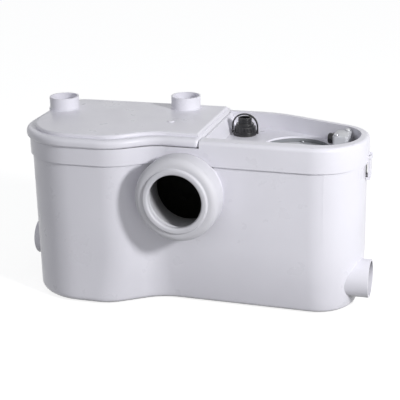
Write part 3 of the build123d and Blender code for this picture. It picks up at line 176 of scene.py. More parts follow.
# %% [markdown]
# ## Effects that several finishes share
# Moulded plastic is never one flat colour: the mould leaves a fine grain, the colour
# drifts a little across a large wall, and the gloss is uneven where hands have been. One
# group makes all three from noise in object space, so each finish only says how strong
# they are.


# %% Helpers for groups
def make_group(name, inputs, outputs):
    """A shader group with its sockets, and its two end nodes."""
    tree = bpy.data.node_groups.new(name, "ShaderNodeTree")
    for label, kind, value in inputs:
        socket = tree.interface.new_socket(label, in_out="INPUT", socket_type=kind)
        socket.default_value = value
    for label, kind in outputs:
        tree.interface.new_socket(label, in_out="OUTPUT", socket_type=kind)
    return tree, tree.nodes.new("NodeGroupInput"), tree.nodes.new("NodeGroupOutput")


def noise(tree, where, scale, detail=2.0, roughness=0.5):
    """Noise whose scale is a number or another node's output."""
    made = add_node(tree, "ShaderNodeTexNoise", Detail=detail, Roughness=roughness)
    if hasattr(scale, "links"):
        tree.links.new(scale, made.inputs["Scale"])
    else:
        made.inputs["Scale"].default_value = scale
    tree.links.new(where, made.inputs["Vector"])
    return made.outputs["Fac"]


def remap(tree, value, start, finish, low, high):
    """A value stretched from one span to another; the new ends may be sockets."""
    made = add_node(tree, "ShaderNodeMapRange")
    made.inputs["From Min"].default_value = start
    made.inputs["From Max"].default_value = finish
    tree.links.new(value, made.inputs["Value"])
    for name, end in (("To Min", low), ("To Max", high)):
        if hasattr(end, "links"):
            tree.links.new(end, made.inputs[name])
        else:
            made.inputs[name].default_value = end
    return made.outputs["Result"]


def blend_colours(tree, share, first, second):
    """The first colour, passing into the second as the share goes from 0 to 1."""
    made = add_node(tree, "ShaderNodeMix", data_type="RGBA")
    tree.links.new(share, made.inputs[0])
    tree.links.new(first, made.inputs[6])
    tree.links.new(second, made.inputs[7])
    return made.outputs[2]


def product(tree, first, second):
    """Two masks multiplied."""
    made = add_node(tree, "ShaderNodeMath", operation="MULTIPLY")
    tree.links.new(first, made.inputs[0])
    tree.links.new(second, made.inputs[1])
    return made.outputs[0]


# %% Group: moulded skin
skin, skin_in, skin_out = make_group("moulded_skin", (
    ("Color", "NodeSocketColor", (0.8, 0.8, 0.8, 1)),
    ("Second Color", "NodeSocketColor", (0.7, 0.7, 0.7, 1)),
    ("Drift Scale", "NodeSocketFloat", 9.0),
    ("Grain Scale", "NodeSocketFloat", 1400.0),
    ("Grain Depth", "NodeSocketFloat", 0.00002),
    ("Wave Depth", "NodeSocketFloat", 0.0),
    ("Gloss Low", "NodeSocketFloat", 0.3),
    ("Gloss High", "NodeSocketFloat", 0.4),
), (("Color", "NodeSocketColor"), ("Roughness", "NodeSocketFloat"),
    ("Normal", "NodeSocketVector")))
smudge_scale, wave_scale = 34.0, 16.0
skin_place = add_node(skin, "ShaderNodeTexCoord").outputs["Object"]
drift = noise(skin, skin_place, skin_in.outputs["Drift Scale"], 3.0)
skin.links.new(blend_colours(skin, remap(skin, drift, 0.3, 0.7, 0.0, 1.0),
                             skin_in.outputs["Color"], skin_in.outputs["Second Color"]),
               skin_out.inputs["Color"])
smudge = noise(skin, skin_place, smudge_scale, 4.0)
skin.links.new(remap(skin, smudge, 0.3, 0.7, skin_in.outputs["Gloss Low"],
                     skin_in.outputs["Gloss High"]), skin_out.inputs["Roughness"])
wave_press = add_node(skin, "ShaderNodeBump", Strength=1.0)
skin.links.new(skin_in.outputs["Wave Depth"], wave_press.inputs["Distance"])
skin.links.new(noise(skin, skin_place, wave_scale, 1.0), wave_press.inputs["Height"])
press = add_node(skin, "ShaderNodeBump", Strength=1.0)
skin.links.new(skin_in.outputs["Grain Depth"], press.inputs["Distance"])
skin.links.new(noise(skin, skin_place, skin_in.outputs["Grain Scale"]), press.inputs["Height"])
skin.links.new(wave_press.outputs["Normal"], press.inputs["Normal"])
skin.links.new(press.outputs["Normal"], skin_out.inputs["Normal"])

# %% [markdown]
# Handling wears the edges, and dust settles in the corners. Both can be found by feeling
# for nearby surface: rays sent inward from an edge soon leave the solid, and rays sent
# outward from a corner soon meet a wall. The same feeler with a long reach finds the
# closed inside of the tank and paints it nearly black: painted shade for the dark in there.

# %% Group: wear, dust and painted inside shade
wear_and_shade, wear_and_shade_in, wear_and_shade_out = make_group("wear_dust_and_painted_shade", (
    ("Color", "NodeSocketColor", (0.8, 0.8, 0.8, 1)),
    ("Roughness", "NodeSocketFloat", 0.4),
    ("Edge Color", "NodeSocketColor", (0.9, 0.9, 0.9, 1)),
    ("Edge Amount", "NodeSocketFloat", 0.4),
    ("Dust Color", "NodeSocketColor", (0.5, 0.48, 0.45, 1)),
    ("Dust Amount", "NodeSocketFloat", 0.3),
    # Painted shade colour for the closed inside.
    ("Painted Shade Color", "NodeSocketColor", (0.05, 0.05, 0.045, 1)),
    ("Painted Shade Amount", "NodeSocketFloat", 0.0),
), (("Color", "NodeSocketColor"), ("Roughness", "NodeSocketFloat")))
edge_reach, corner_reach, inside_shade_reach = 0.0016, 0.010, 0.35
patch_scale, dust_roughens = 60.0, 0.5
wear_place = add_node(wear_and_shade, "ShaderNodeTexCoord").outputs["Object"]
patchy = remap(wear_and_shade, noise(wear_and_shade, wear_place, patch_scale, 4.0, 0.6), 0.38, 0.62, 0.25, 1.0)
edge_feel = add_node(wear_and_shade, "ShaderNodeAmbientOcclusion", samples=4, inside=True,
                     Distance=edge_reach)
edge_mask = product(wear_and_shade, remap(wear_and_shade, edge_feel.outputs["AO"], 0.75, 0.35, 0.0, 1.0), patchy)
edge_mask = product(wear_and_shade, edge_mask, wear_and_shade_in.outputs["Edge Amount"])
corner_feel = add_node(wear_and_shade, "ShaderNodeAmbientOcclusion", samples=4, Distance=corner_reach)
dust_mask = product(wear_and_shade, remap(wear_and_shade, corner_feel.outputs["AO"], 0.80, 0.30, 0.0, 1.0),
                    patchy)
dust_mask = product(wear_and_shade, dust_mask, wear_and_shade_in.outputs["Dust Amount"])
# Painted shade: far inside the closed tank and boot, where little light gets, the colour is
# pushed nearly to black.
inside_shade_feel = add_node(wear_and_shade, "ShaderNodeAmbientOcclusion", samples=12, Distance=inside_shade_reach)
inside_shade_mask = product(wear_and_shade, remap(wear_and_shade, inside_shade_feel.outputs["AO"], 0.20, 0.06, 0.0, 1.0),
                     wear_and_shade_in.outputs["Painted Shade Amount"])
shade = blend_colours(wear_and_shade, edge_mask, wear_and_shade_in.outputs["Color"], wear_and_shade_in.outputs["Edge Color"])
shade = blend_colours(wear_and_shade, dust_mask, shade, wear_and_shade_in.outputs["Dust Color"])
shade = blend_colours(wear_and_shade, inside_shade_mask, shade, wear_and_shade_in.outputs["Painted Shade Color"])
wear_and_shade.links.new(shade, wear_and_shade_out.inputs["Color"])
rougher = add_node(wear_and_shade, "ShaderNodeMath", operation="MULTIPLY_ADD", use_clamp=True)
wear_and_shade.links.new(dust_mask, rougher.inputs[0])
rougher.inputs[1].default_value = dust_roughens
wear_and_shade.links.new(wear_and_shade_in.outputs["Roughness"], rougher.inputs[2])
wear_and_shade.links.new(rougher.outputs[0], wear_and_shade_out.inputs["Roughness"])

# %% [markdown]
# Drawn and turned steel carries fine lines along the way it was worked. The same noise,
# squeezed along one axis, draws them: streaks along Z on shafts and pins, and short
# scratches across them for the plated screws.

# %% Group: worked metal
metal, metal_in, metal_out = make_group("worked_metal", (
    ("Color", "NodeSocketColor", (0.6, 0.6, 0.6, 1)),
    ("Second Color", "NodeSocketColor", (0.5, 0.5, 0.5, 1)),
    ("Squeeze", "NodeSocketVector", (1.0, 1.0, 0.04)),
    ("Line Scale", "NodeSocketFloat", 2600.0),
    ("Line Depth", "NodeSocketFloat", 0.00001),
    ("Gloss Low", "NodeSocketFloat", 0.2),
    ("Gloss High", "NodeSocketFloat", 0.4),
), (("Color", "NodeSocketColor"), ("Roughness", "NodeSocketFloat"),
    ("Normal", "NodeSocketVector")))
metal_place = add_node(metal, "ShaderNodeTexCoord").outputs["Object"]
squeeze = add_node(metal, "ShaderNodeVectorMath", operation="MULTIPLY")
metal.links.new(metal_place, squeeze.inputs[0])
metal.links.new(metal_in.outputs["Squeeze"], squeeze.inputs[1])
lines = noise(metal, squeeze.outputs[0], metal_in.outputs["Line Scale"], 3.0)
tarnish_scale = 45.0
tarnish = noise(metal, metal_place, tarnish_scale, 4.0)
metal.links.new(blend_colours(metal, remap(metal, tarnish, 0.35, 0.65, 0.0, 1.0),
                              metal_in.outputs["Color"], metal_in.outputs["Second Color"]),
                metal_out.inputs["Color"])
metal.links.new(remap(metal, lines, 0.3, 0.7, metal_in.outputs["Gloss Low"],
                      metal_in.outputs["Gloss High"]), metal_out.inputs["Roughness"])
metal_press = add_node(metal, "ShaderNodeBump", Strength=1.0)
metal.links.new(metal_in.outputs["Line Depth"], metal_press.inputs["Distance"])
metal.links.new(lines, metal_press.inputs["Height"])
metal.links.new(metal_press.outputs["Normal"], metal_out.inputs["Normal"])

# %% [markdown]
# ## Finishes
# Each finish joins one of these effects to the wear, dust and shade group and then to its own
# surface shader. White covers get little dust and faint edges, because the pump in the
# photograph is new; the closed inside of the tank and of the boot gets painted shade,
# nearly black.


# %% Finish makers
def dressed(name, effect, effect_values, wear_and_shade_values, **surface):
    """A material: an effect group, then wear, dust and painted inside shade, then the surface.
    """
    material = bpy.data.materials.new(name)
    material.use_nodes = True
    tree = material.node_tree
    shader = tree.nodes["Principled BSDF"]
    for socket, value in surface.items():
        shader.inputs[socket.replace("_", " ")].default_value = value
    base = add_node(tree, "ShaderNodeGroup", node_tree=effect)
    worn_and_shaded = add_node(tree, "ShaderNodeGroup", node_tree=wear_and_shade)
    for group, values in ((base, effect_values), (worn_and_shaded, wear_and_shade_values)):
        for label, value in values.items():
            colour = "Color" in label
            group.inputs[label].default_value = (*value, 1) if colour else value
    tree.links.new(base.outputs["Color"], worn_and_shaded.inputs["Color"])
    tree.links.new(base.outputs["Roughness"], worn_and_shaded.inputs["Roughness"])
    tree.links.new(worn_and_shaded.outputs["Color"], shader.inputs["Base Color"])
    tree.links.new(worn_and_shaded.outputs["Roughness"], shader.inputs["Roughness"])
    tree.links.new(base.outputs["Normal"], shader.inputs["Normal"])
    return material


def plastic(name, colour, second, gloss, grain, edge, dust, wave=0.0, painted_inside_shade=0.0, **surface):
    """A moulded finish; gloss is (low, high), grain (scale, depth), edge and dust (colour,
    amount)."""
    values = {"Color": colour, "Second Color": second, "Gloss Low": gloss[0],
              "Gloss High": gloss[1], "Grain Scale": grain[0], "Grain Depth": grain[1],
              "Wave Depth": wave}
    worn_and_shaded = {"Edge Color": edge[0], "Edge Amount": edge[1], "Dust Color": dust[0],
            "Dust Amount": dust[1], "Painted Shade Amount": painted_inside_shade}
    return dressed(name, skin, values, worn_and_shaded, **surface)


def steel(name, colour, second, gloss, squeeze_by, depth, dust_amount, metallic=1.0):
    """A worked metal finish, its lines drawn out along the axis that is squeezed most."""
    values = {"Color": colour, "Second Color": second, "Gloss Low": gloss[0],
              "Gloss High": gloss[1], "Squeeze": squeeze_by, "Line Depth": depth}
    worn_and_shaded = {"Edge Color": (0.8, 0.8, 0.8), "Edge Amount": 0.35,
            "Dust Color": (0.12, 0.10, 0.08), "Dust Amount": dust_amount}
    return dressed(name, metal, values, worn_and_shaded, Metallic=metallic)


# %% Finishes by slot
pale_dust, dark_dust = (0.52, 0.51, 0.50), (0.16, 0.155, 0.15)
finishes = {
    # The inside amount of 1.0 on the shell and the boot paints shade, nearly black, inside them.
    "shell_white": plastic("shell_white", (0.80, 0.79, 0.855), (0.765, 0.755, 0.82),
                           (0.26, 0.38), (1300.0, 0.000012), ((0.86, 0.86, 0.88), 0.25),
                           (pale_dust, 0.22), wave=0.00012, painted_inside_shade=1.0),
    "boot_rubber": plastic("boot_rubber", (0.68, 0.675, 0.72), (0.635, 0.63, 0.675),
                           (0.46, 0.60), (800.0, 0.00003), ((0.80, 0.80, 0.82), 0.2),
                           (pale_dust, 0.30), wave=0.0001, painted_inside_shade=1.0),
    "black_rubber": plastic("black_rubber", (0.012, 0.012, 0.013), (0.024, 0.024, 0.025),
                            (0.55, 0.75), (700.0, 0.00008), ((0.05, 0.05, 0.05), 0.4),
                            (dark_dust, 0.5)),
    "black_plastic": plastic("black_plastic", (0.006, 0.006, 0.008), (0.012, 0.012, 0.014),
                             (0.22, 0.38), (1200.0, 0.00003), ((0.06, 0.06, 0.065), 0.5),
                             (dark_dust, 0.3)),
    "grey_plastic": plastic("grey_plastic", (0.25, 0.26, 0.28), (0.21, 0.22, 0.24),
                            (0.40, 0.55), (1000.0, 0.00005), ((0.36, 0.36, 0.38), 0.4),
                            (dark_dust, 0.4), wave=0.0001),
    "pale_plastic": plastic("pale_plastic", (0.58, 0.59, 0.62), (0.54, 0.55, 0.58),
                            (0.34, 0.48), (1100.0, 0.00004), ((0.7, 0.7, 0.72), 0.35),
                            (pale_dust, 0.35), wave=0.00008),
    "carbon_felt": plastic("carbon_felt", (0.018, 0.018, 0.018), (0.04, 0.04, 0.04),
                           (0.9, 1.0), (420.0, 0.0006), ((0.08, 0.08, 0.08), 0.5),
                           (dark_dust, 0.5)),
    "copper_enamel": steel("copper_enamel", (0.50, 0.15, 0.045), (0.38, 0.10, 0.03),
                           (0.22, 0.36), (0.2, 0.2, 1.0), 0.00025, 0.3, 0.7),
    "stainless": steel("stainless", (0.58, 0.58, 0.59), (0.50, 0.50, 0.51),
                       (0.18, 0.34), (1.0, 1.0, 0.04), 0.000012, 0.15),
    "zinc_steel": steel("zinc_steel", (0.55, 0.56, 0.58), (0.44, 0.45, 0.48),
                        (0.26, 0.44), (1.0, 0.3, 1.0), 0.00001, 0.25),
    "motor_steel": steel("motor_steel", (0.33, 0.34, 0.36), (0.26, 0.27, 0.29),
                         (0.30, 0.48), (0.15, 0.15, 1.0), 0.00002, 0.3),
    "cast_alloy": plastic("cast_alloy", (0.50, 0.51, 0.52), (0.40, 0.41, 0.43),
                          (0.45, 0.62), (520.0, 0.00012), ((0.66, 0.66, 0.68), 0.5),
                          (dark_dust, 0.4), Metallic=1.0),
    "capacitor_can": steel("capacitor_can", (0.62, 0.62, 0.64), (0.55, 0.55, 0.57),
                           (0.22, 0.36), (0.04, 1.0, 1.0), 0.00001, 0.2),
}
slot_of = {part["node"]: part["material_slot"] for part in frame["record"]["subparts"]}
for node_name, node_object in frame["nodes"].items():
    node_object.data.materials.clear()
    node_object.data.materials.append(finishes[slot_of[node_name]])
print("finishes", len(finishes), "on", len(slot_of), "solids")

# %% [markdown]
# ## The solids that stay
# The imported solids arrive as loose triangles, so light would show every facet. A small
# geometry network welds each solid's corners, smooths it, and keeps an edge sharp only
# where the surface turns by more than 28 degrees. The mesh itself is not touched.

# %% Smooth the solids
weld_gap, solid_crease = 0.000002, 28
weld = bpy.data.node_groups.new("smooth_moulding", "GeometryNodeTree")
weld.interface.new_socket("Geometry", in_out="INPUT", socket_type="NodeSocketGeometry")
weld.interface.new_socket("Geometry", in_out="OUTPUT", socket_type="NodeSocketGeometry")
weld_in, weld_out = weld.nodes.new("NodeGroupInput"), weld.nodes.new("NodeGroupOutput")
merge = weld.nodes.new("GeometryNodeMergeByDistance")
merge.inputs["Distance"].default_value = weld_gap
smooth_faces = weld.nodes.new("GeometryNodeSetShadeSmooth")
crease = weld.nodes.new("GeometryNodeSetShadeSmooth")
crease.domain = "EDGE"
crease.inputs["Shade Smooth"].default_value = False
edge_turn = weld.nodes.new("GeometryNodeInputMeshEdgeAngle")
sharp = weld.nodes.new("FunctionNodeCompare")
sharp.data_type, sharp.operation = "FLOAT", "GREATER_THAN"
sharp.inputs[1].default_value = radians(solid_crease)
weld.links.new(edge_turn.outputs["Unsigned Angle"], sharp.inputs[0])
weld.links.new(sharp.outputs[0], crease.inputs["Selection"])
weld.links.new(weld_in.outputs[0], merge.inputs["Geometry"])
weld.links.new(merge.outputs["Geometry"], smooth_faces.inputs["Geometry"])
weld.links.new(smooth_faces.outputs["Geometry"], crease.inputs["Geometry"])
weld.links.new(crease.outputs["Geometry"], weld_out.inputs[0])
for node_object in frame["nodes"].values():
    step = node_object.modifiers.new("smooth_moulding", "NODES")
    step.node_group = weld

# %% [markdown]
# ## How the new pieces are made
# Most small fittings on a pump are turned or moulded round, so one helper draws half of
# their section as a flat face, rounds its corners by bevelling them, and spins the edges
# about the axis. Another draws a bevelled block, and a last one welds a finished mesh,
# turns its faces outward and hangs it on the body that carries it. Sizes are in
# millimetres here and shrink to metres at the end, so that the numbers read like a drawing.


# %% Helpers for new pieces
millimetre = 0.001
crease_degrees = 32


def section(bm, corners, bend_steps=5):
    """A flat face in the XZ plane from (x, z, rounding) corners, each corner bevelled."""
    points = [bm.verts.new((x, 0, z)) for x, z, _ in corners]
    bm.faces.new(points)
    for point, (_, _, rounding) in zip(points, corners):
        if rounding:
            bmesh.ops.bevel(bm, geom=[point], offset=rounding, segments=bend_steps,
                            profile=0.5, affect="VERTICES", material=-1)


def spun(corners, steps=96, bend_steps=5):
    """A round form about +Z from half its section."""
    bm = bmesh.new()
    section(bm, corners, bend_steps)
    bmesh.ops.delete(bm, geom=bm.faces[:], context="FACES_ONLY")
    on_axis = [e for e in bm.edges if max(abs(v.co.x) for v in e.verts) < 1e-6]
    bmesh.ops.delete(bm, geom=on_axis, context="EDGES")
    bmesh.ops.spin(bm, geom=bm.verts[:] + bm.edges[:], cent=(0, 0, 0), axis=(0, 0, 1),
                   angle=2 * pi, steps=steps, use_merge=True)
    bmesh.ops.remove_doubles(bm, verts=bm.verts, dist=0.0001)
    return bm


def bar(bm, size, centre, edge=0.4, turn_by=0.0):
    """A block with its edges bevelled, turned about the middle of the drawing."""
    made = bmesh.ops.create_cube(bm, size=1.0)["verts"]
    bmesh.ops.scale(bm, verts=made, vec=size)
    bmesh.ops.translate(bm, verts=made, vec=centre)
    edges = list({e for v in made for e in v.link_edges})
    rounded = bmesh.ops.bevel(bm, geom=edges, offset=edge, segments=2, profile=0.5,
                              affect="EDGES", material=-1)["verts"]
    bmesh.ops.rotate(bm, verts=rounded, cent=(0, 0, 0),
                     matrix=Matrix.Rotation(turn_by, 3, "Z"))
    return rounded


def hang(name, bm, body, slot, nodes=(), move=(0, 0, 0), turn=None):
    """Welds a drawing in millimetres, puts it in its place and hangs it on a body."""
    bmesh.ops.remove_doubles(bm, verts=bm.verts, dist=0.0005)
    bmesh.ops.recalc_face_normals(bm, faces=bm.faces)
    if turn is not None:
        bmesh.ops.rotate(bm, verts=bm.verts, cent=(0, 0, 0), matrix=turn)
    bmesh.ops.translate(bm, verts=bm.verts, vec=move)
    bmesh.ops.scale(bm, verts=bm.verts, vec=(millimetre,) * 3)
    mesh = bpy.data.meshes.new(name)
    bm.to_mesh(mesh)
    bm.free()
    mesh.shade_smooth()
    mesh.set_sharp_from_angle(angle=radians(crease_degrees))
    mesh.materials.append(finishes[slot])
    piece = bpy.data.objects.new(name, mesh)
    bpy.context.scene.collection.objects.link(piece)
    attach(piece, body)
    if nodes:
        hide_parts(*nodes)
    print(name, len(mesh.polygons), "faces")
    return piece


# %% [markdown]
# ## Pan inlet boot
# The big white ring is one soft moulding: a cuff stretched over the tank's collar, a broad
# shoulder, and a rolled lip around the mouth. Inside, three thin fins lean inward to seal
# on the spigot of the toilet pan. A ring like this is half a section spun round, and the
# look depends on the roundings, so each corner of the section has its own. Two short
# seams of the mould stand at its sides.

# %% Pan inlet boot
port_centre, lip_bend, boot_outer, seam_depth = (2.0, 0.0, 178.0), 7, 61.0, 0.35
boot = spun((
    (boot_outer, 80.0, 1.2), (boot_outer, 114.0, 10.5), (47.6, 114.0, 1.4), (46.8, 117.0, 2.0),
    (39.0, 117.0, 3.0), (38.9, 110.6, 1.2), (43.4, 108.0, 1.0), (41.6, 104.0, 1.0),
    (45.6, 101.0, 1.0), (42.4, 96.6, 1.0), (46.0, 92.8, 1.0), (46.0, 53.0, 0.6),
    (53.0, 53.0, 1.2), (53.0, 56.3, 1.2), (49.7, 56.3, 0.4), (49.7, 90.3, 0.4),
    (57.3, 90.3, 0.6), (57.3, 80.0, 0.8)), steps=144, bend_steps=lip_bend)
for seam in range(2):
    bar(boot, (1.0, 0.7, 18.0), (boot_outer - seam_depth, 0, 91.0), 0.25, seam * pi)
hang("soft_boot", boot, "pump_body", "boot_rubber", ("pan_boot",), port_centre,
     Matrix.Rotation(radians(90), 3, "X"))

# %% [markdown]
# ## Discharge outlet and its bail
# The black outlet in the tray is a stepped moulding with gripping ribs on its base and
# barbs on its tail for the hose. The bail over it is a thin strap bent into an arch: the
# line of the arch is drawn flat, pulled out to the strap's depth, given its thickness by
# solidify, and bevelled along its corners. Two short pins at its feet are what it swings on.

# %% Discharge outlet
outlet_centre = (59.0, 61.0, 0.0)
outlet = spun((
    (8.0, 202.0, 0.5), (12.6, 202.0, 1.0), (12.6, 231.6, 0.0), (17.6, 231.6, 0.5),
    (17.6, 236.1, 0.9), (15.4, 236.1, 0.3), (15.2, 244.0, 1.8), (13.5, 244.0, 0.3),
    (13.5, 247.5, 1.1), (10.2, 247.5, 0.3), (10.0, 249.0, 0.2), (10.5, 251.2, 0.2),
    (9.9, 251.5, 0.2), (10.5, 253.7, 0.2), (9.9, 254.0, 0.2), (10.2, 256.5, 0.7),
    (8.0, 256.5, 0.5)), steps=72)
rib_count = 20
for rib in range(rib_count):
    bar(outlet, (1.6, 1.5, 6.6), (15.2, 0, 239.6), 0.35, 2 * pi * rib / rib_count)
hang("outlet_fitting", outlet, "pump_body", "black_plastic", ("discharge_connector",),
     outlet_centre)

# %% Outlet bail
strap_half, strap_top, strap_low, strap_crown = 20.2, 262.5, 231.85, 19.8
strap_deep, strap_thick, pin_out, pin_level = 3.0, 2.2, 16.9, 233.85
bail = bmesh.new()
section(bail, ((-strap_half, strap_low, 0.0), (-strap_half, strap_top, strap_crown),
               (strap_half, strap_top, strap_crown), (strap_half, strap_low, 0.0)), 12)
foot_line = [e for e in bail.edges if max(v.co.z for v in e.verts) < strap_low + 0.01]
bmesh.ops.delete(bail, geom=bail.faces[:], context="FACES_ONLY")
bmesh.ops.delete(bail, geom=foot_line, context="EDGES")
strap = bmesh.ops.extrude_edge_only(bail, edges=bail.edges[:])["geom"]
bmesh.ops.translate(bail, verts=[v for v in strap if isinstance(v, bmesh.types.BMVert)],
                    vec=(0, strap_deep, 0))
bmesh.ops.recalc_face_normals(bail, faces=bail.faces)
thicken_way = 1 if sum(f.normal.z for f in bail.faces) > 0 else -1
bmesh.ops.solidify(bail, geom=bail.faces[:], thickness=thicken_way * strap_thick)
bmesh.ops.recalc_face_normals(bail, faces=bail.faces)
corner_edges = [e for e in bail.edges if e.calc_face_angle(0) > radians(50)]
bmesh.ops.bevel(bail, geom=corner_edges, offset=0.5, segments=3, profile=0.5, affect="EDGES",
                material=-1)
bmesh.ops.translate(bail, verts=bail.verts, vec=(0, -strap_deep / 2, 0))
print("bail spans", [round(max(v.co[k] for v in bail.verts), 2) for k in range(3)])
for side in (-1, 1):
    pin = bmesh.ops.create_cone(bail, cap_ends=True, segments=24, radius1=1.2, radius2=1.2,
                                depth=4.0)["verts"]
    bmesh.ops.rotate(bail, verts=pin, cent=(0, 0, 0), matrix=Matrix.Rotation(pi / 2, 3, "Y"))
    bmesh.ops.translate(bail, verts=pin, vec=(side * pin_out, 0, pin_level))
hang("outlet_bail", bail, "bail", "black_plastic", ("connector_bail",), outlet_centre)

# %% [markdown]
# ## Screws
# All the visible screws are pan heads with a cross recess. The recess comes first: a
# cross-shaped ring of edges, pushed down and closed for the floor of the recess. The same
# ring is bridged out to a circle for the top of the head, and then each next ring is
# grown from the last: over the rounded rim, under the head and down the shank.


# %% Helpers for screws
def grow(bm, ring, scale=1.0, rise=0.0):
    """The next ring: a copy of a ring of edges joined to it, scaled and raised."""
    made = bmesh.ops.extrude_edge_only(bm, edges=ring)["geom"]
    fresh = [v for v in made if isinstance(v, bmesh.types.BMVert)]
    bmesh.ops.scale(bm, verts=fresh, vec=(scale, scale, 1))
    bmesh.ops.translate(bm, verts=fresh, vec=(0, 0, rise))
    kept = set(fresh)
    return [e for e in bm.edges if e.verts[0] in kept and e.verts[1] in kept]


def cross_screw(head, tall, shank, length):
    """A pan head screw, the underside of its head at zero."""
    bm = bmesh.new()
    arm, slot_half = head * 0.52, head * 0.13
    quarter = ((arm, slot_half), (slot_half, slot_half), (slot_half, arm), (-slot_half, arm),
               (-slot_half, slot_half), (-arm, slot_half), (-arm, -slot_half),
               (-slot_half, -slot_half), (-slot_half, -arm), (slot_half, -arm),
               (slot_half, -slot_half), (arm, -slot_half))
    points = [bm.verts.new((x, y, tall)) for x, y in quarter]
    cross = [bm.edges.new((points[i - 1], points[i])) for i in range(len(points))]
    floor_ring = grow(bm, cross, 0.62, -tall * 0.5)
    bmesh.ops.edgeloop_fill(bm, edges=floor_ring)
    rim = bmesh.ops.create_circle(bm, cap_ends=False, segments=24, radius=head * 0.7)["verts"]
    bmesh.ops.translate(bm, verts=rim, vec=(0, 0, tall))
    rim_set = set(rim)
    ring = [e for e in bm.edges if e.verts[0] in rim_set and e.verts[1] in rim_set]
    bmesh.ops.bridge_loops(bm, edges=cross + ring)
    for scale, rise in ((1.22, -0.10), (1.12, -0.22), (1.045, -0.33), (1.0, -0.35),
                        (shank / head, 0.0), (1.0, -length / tall), (0.6, -0.4)):
        ring = grow(bm, ring, scale, rise * tall)
    bmesh.ops.edgeloop_fill(bm, edges=ring)
    return bm


def screw_set(name, places, slot, node, head, tall, shank, length, first_turn=0.4):
    """One mesh of equal screws, each left at its own turn by the screwdriver."""
    group = bmesh.new()
    for index, place in enumerate(places):
        one = cross_screw(head, tall, shank, length)
        bmesh.ops.rotate(one, verts=one.verts, cent=(0, 0, 0),
                         matrix=Matrix.Rotation(first_turn + 1.7 * index, 3, "Z"))
        bmesh.ops.translate(one, verts=one.verts, vec=place)
        loose = bpy.data.meshes.new("one_screw")
        one.to_mesh(loose)
        one.free()
        group.from_mesh(loose)
        bpy.data.meshes.remove(loose)
    return hang(name, group, "pump_body", slot, (node,))


# %% Screw sets
well_x, well_y, well_top, well_circle = 146.0, 20.0, 221.5, 45.8
circle_places = [(well_x + well_circle * cos(radians(a)), well_y + well_circle * sin(radians(a)),
                  well_top) for a in (90, 210, 330)]
screw_left, screw_back, screw_high, screw_low = -236.5, 100.5, 243.0, 230.0
corner_bend, wall_inset = 42.0, 12.5
corner_in = (corner_bend - wall_inset) * (1 - 0.5 ** 0.5)
frame_places = [(screw_left, 0.0, screw_high),
                (screw_left + corner_in, screw_back - corner_in, screw_high),
                (-93.0 - 88.0 / 3, -89.5, screw_high), (-93.0, screw_back, screw_high),
                (94.0, -36.0, screw_low), (200.0, -36.0, screw_low)]
screw_set("frame_screws", frame_places, "zinc_steel", "housing_screws", 3.8, 2.4, 2.0, 16.0)
screw_set("well_screws", circle_places, "zinc_steel", "motor_cover_screws", 2.2, 2.4, 1.3,
          9.0, 1.1)
screw_set("box_screws", [(205.0, 11.0, 251.0), (217.0, 40.0, 251.0)], "zinc_steel",
          "terminal_screws", 3.8, 2.4, 2.0, 9.0, 0.2)

# %% [markdown]
# ## Motor cover, terminal box lid and cable gland
# These sit in the open tray. The motor cover is a ribbed round plate deep in its well, the
# lid is a block with a raised panel, and the gland is a hexagon with a ribbed dome that
# grips the cord. All three are drawn square and true, then bevelled, because a moulding
# has no knife edges.

# %% Motor cover
plate = spun((
    (0.0, 218.5, 0.0), (48.2, 218.5, 0.4), (48.2, well_top, 0.9), (39.0, well_top, 0.6),
    (38.2, 220.2, 0.4), (13.6, 220.2, 0.4), (12.8, well_top, 0.5), (4.0, well_top, 0.5),
    (3.4, 220.7, 0.3), (0.0, 220.7, 0.0)), steps=96)
spoke_count = 12
for spoke in range(spoke_count):
    bar(plate, (24.6, 1.6, 1.5), (25.9, 0, 220.7), 0.35, 2 * pi * (spoke + 0.5) / spoke_count)
hang("well_plate", plate, "pump_body", "pale_plastic", ("motor_cover",),
     (well_x, well_y, 0.0))

# %% Terminal box lid
lid_wide, lid_deep, lid_x, lid_y = 22.0, 39.0, 211.0, 25.5
lid = bmesh.new()
for low, high, inset, corner in ((248.0, 250.3, 0.0, 4.0), (250.3, 251.0, 1.6, 3.0)):
    block = bmesh.ops.create_cube(lid, size=1.0)["verts"]
    bmesh.ops.scale(lid, verts=block,
                    vec=(lid_wide - 2 * inset, lid_deep - 2 * inset, high - low))
    bmesh.ops.translate(lid, verts=block, vec=(lid_x, lid_y, (low + high) / 2))
    upright_edges = [e for v in block for e in v.link_edges
                     if abs(e.verts[0].co.z - e.verts[1].co.z) > 0.1]
    turned = bmesh.ops.bevel(lid, geom=list(set(upright_edges)), offset=corner, segments=6,
                             profile=0.5, affect="EDGES", material=-1)["verts"]
    top_edges = [e for v in lid.verts for e in v.link_edges
                 if min(e.verts[0].co.z, e.verts[1].co.z) > high - 0.01]
    bmesh.ops.bevel(lid, geom=list(set(top_edges)), offset=0.5, segments=2, profile=0.5,
                    affect="EDGES", material=-1)
hang("box_lid", lid, "pump_body", "pale_plastic", ("terminal_box_cover",))

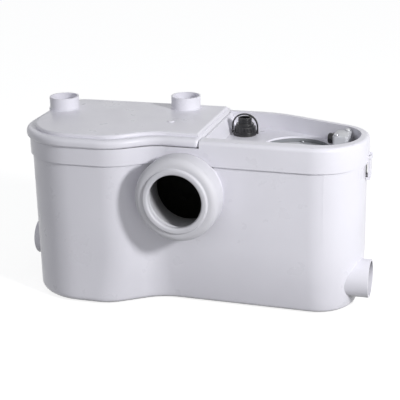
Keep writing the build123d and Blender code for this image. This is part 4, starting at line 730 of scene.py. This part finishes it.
# %% Cable gland
gland = spun((
    (3.6, -7.5, 0.4), (6.0, -7.5, 0.8), (6.0, 2.2, 0.0), (7.1, 2.2, 0.3),
    (7.1, 8.4, 0.6), (6.6, 10.5, 1.4), (3.6, 10.5, 0.8)), steps=72)
hex_corner, hex_tall = 8.5, 4.5
hexagon = bmesh.ops.create_cone(gland, cap_ends=True, segments=6, radius1=hex_corner,
                                radius2=hex_corner, depth=hex_tall)["verts"]
bmesh.ops.translate(gland, verts=hexagon, vec=(0, 0, hex_tall / 2))
hex_edges = list({e for v in hexagon for e in v.link_edges})
bmesh.ops.bevel(gland, geom=hex_edges, offset=0.5, segments=2, profile=0.5, affect="EDGES",
                material=-1)
grip_count = 18
for grip in range(grip_count):
    bar(gland, (0.9, 1.1, 4.2), (7.2, 0, 6.9), 0.3, 2 * pi * grip / grip_count)
hang("cord_gland", gland, "pump_body", "black_plastic", ("cable_gland",),
     (200.0, 33.0, 240.2), Matrix.Rotation(radians(-90), 3, "Y"))

# %% [markdown]
# ## End clip
# The clip at the right end keeps its solid. A thumb finds it by four small ridges near its
# lower end, and they are added as bevelled bars that swing with it.

# %% Clip ridges
ridge_count, ridge_low, ridge_pitch = 4, 196.0, 2.4
ridges = bmesh.new()
for ridge in range(ridge_count):
    bar(ridges, (0.9, 12.0, 1.1), (256.35, 4.0, ridge_low + ridge_pitch * ridge), 0.4)
hang("clip_ridges", ridges, "clip", "shell_white")

# %% [markdown]
# ## Plunger spring
# The level switch's spring sits between the plunger's head and its guide. It is a wire
# circle spun three times while it rises, and closed at both ends. In the pump it is
# squashed towards the guide as the plunger comes up, so that its lowest turn stays on the
# head; here it keeps one shape, in a mesh of its own.

# %% Plunger spring
coil_low, coil_high, coil_radius, wire_radius = 204.3, 210.0, 5.2, 0.4
coil_turns, turn_steps, plunger_lift = 3, 36, 2.0
coil_steps = coil_turns * turn_steps
coil_rise = coil_high - coil_low - 2 * wire_radius
coil = bmesh.new()
wire = bmesh.ops.create_circle(coil, cap_ends=False, segments=12, radius=wire_radius)["verts"]
bmesh.ops.rotate(coil, verts=wire, cent=(0, 0, 0), matrix=Matrix.Rotation(pi / 2, 3, "X"))
bmesh.ops.translate(coil, verts=wire, vec=(coil_radius, 0, coil_low + wire_radius))
bmesh.ops.spin(coil, geom=coil.verts[:] + coil.edges[:], cent=(0, 0, 0), axis=(0, 0, 1),
               dvec=(0, 0, coil_rise / coil_steps), angle=2 * pi * coil_turns,
               steps=coil_steps, use_merge=False)
bmesh.ops.holes_fill(coil, edges=coil.edges[:], sides=0)
print("coil spans", [round(min(v.co.z for v in coil.verts), 2),
                     round(max(v.co.z for v in coil.verts), 2)])
plunger_coil = hang("plunger_coil", coil, "pump_body", "stainless", ("plunger_spring",),
                    (62.0, -18.0, 0.0))
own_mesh(plunger_coil)
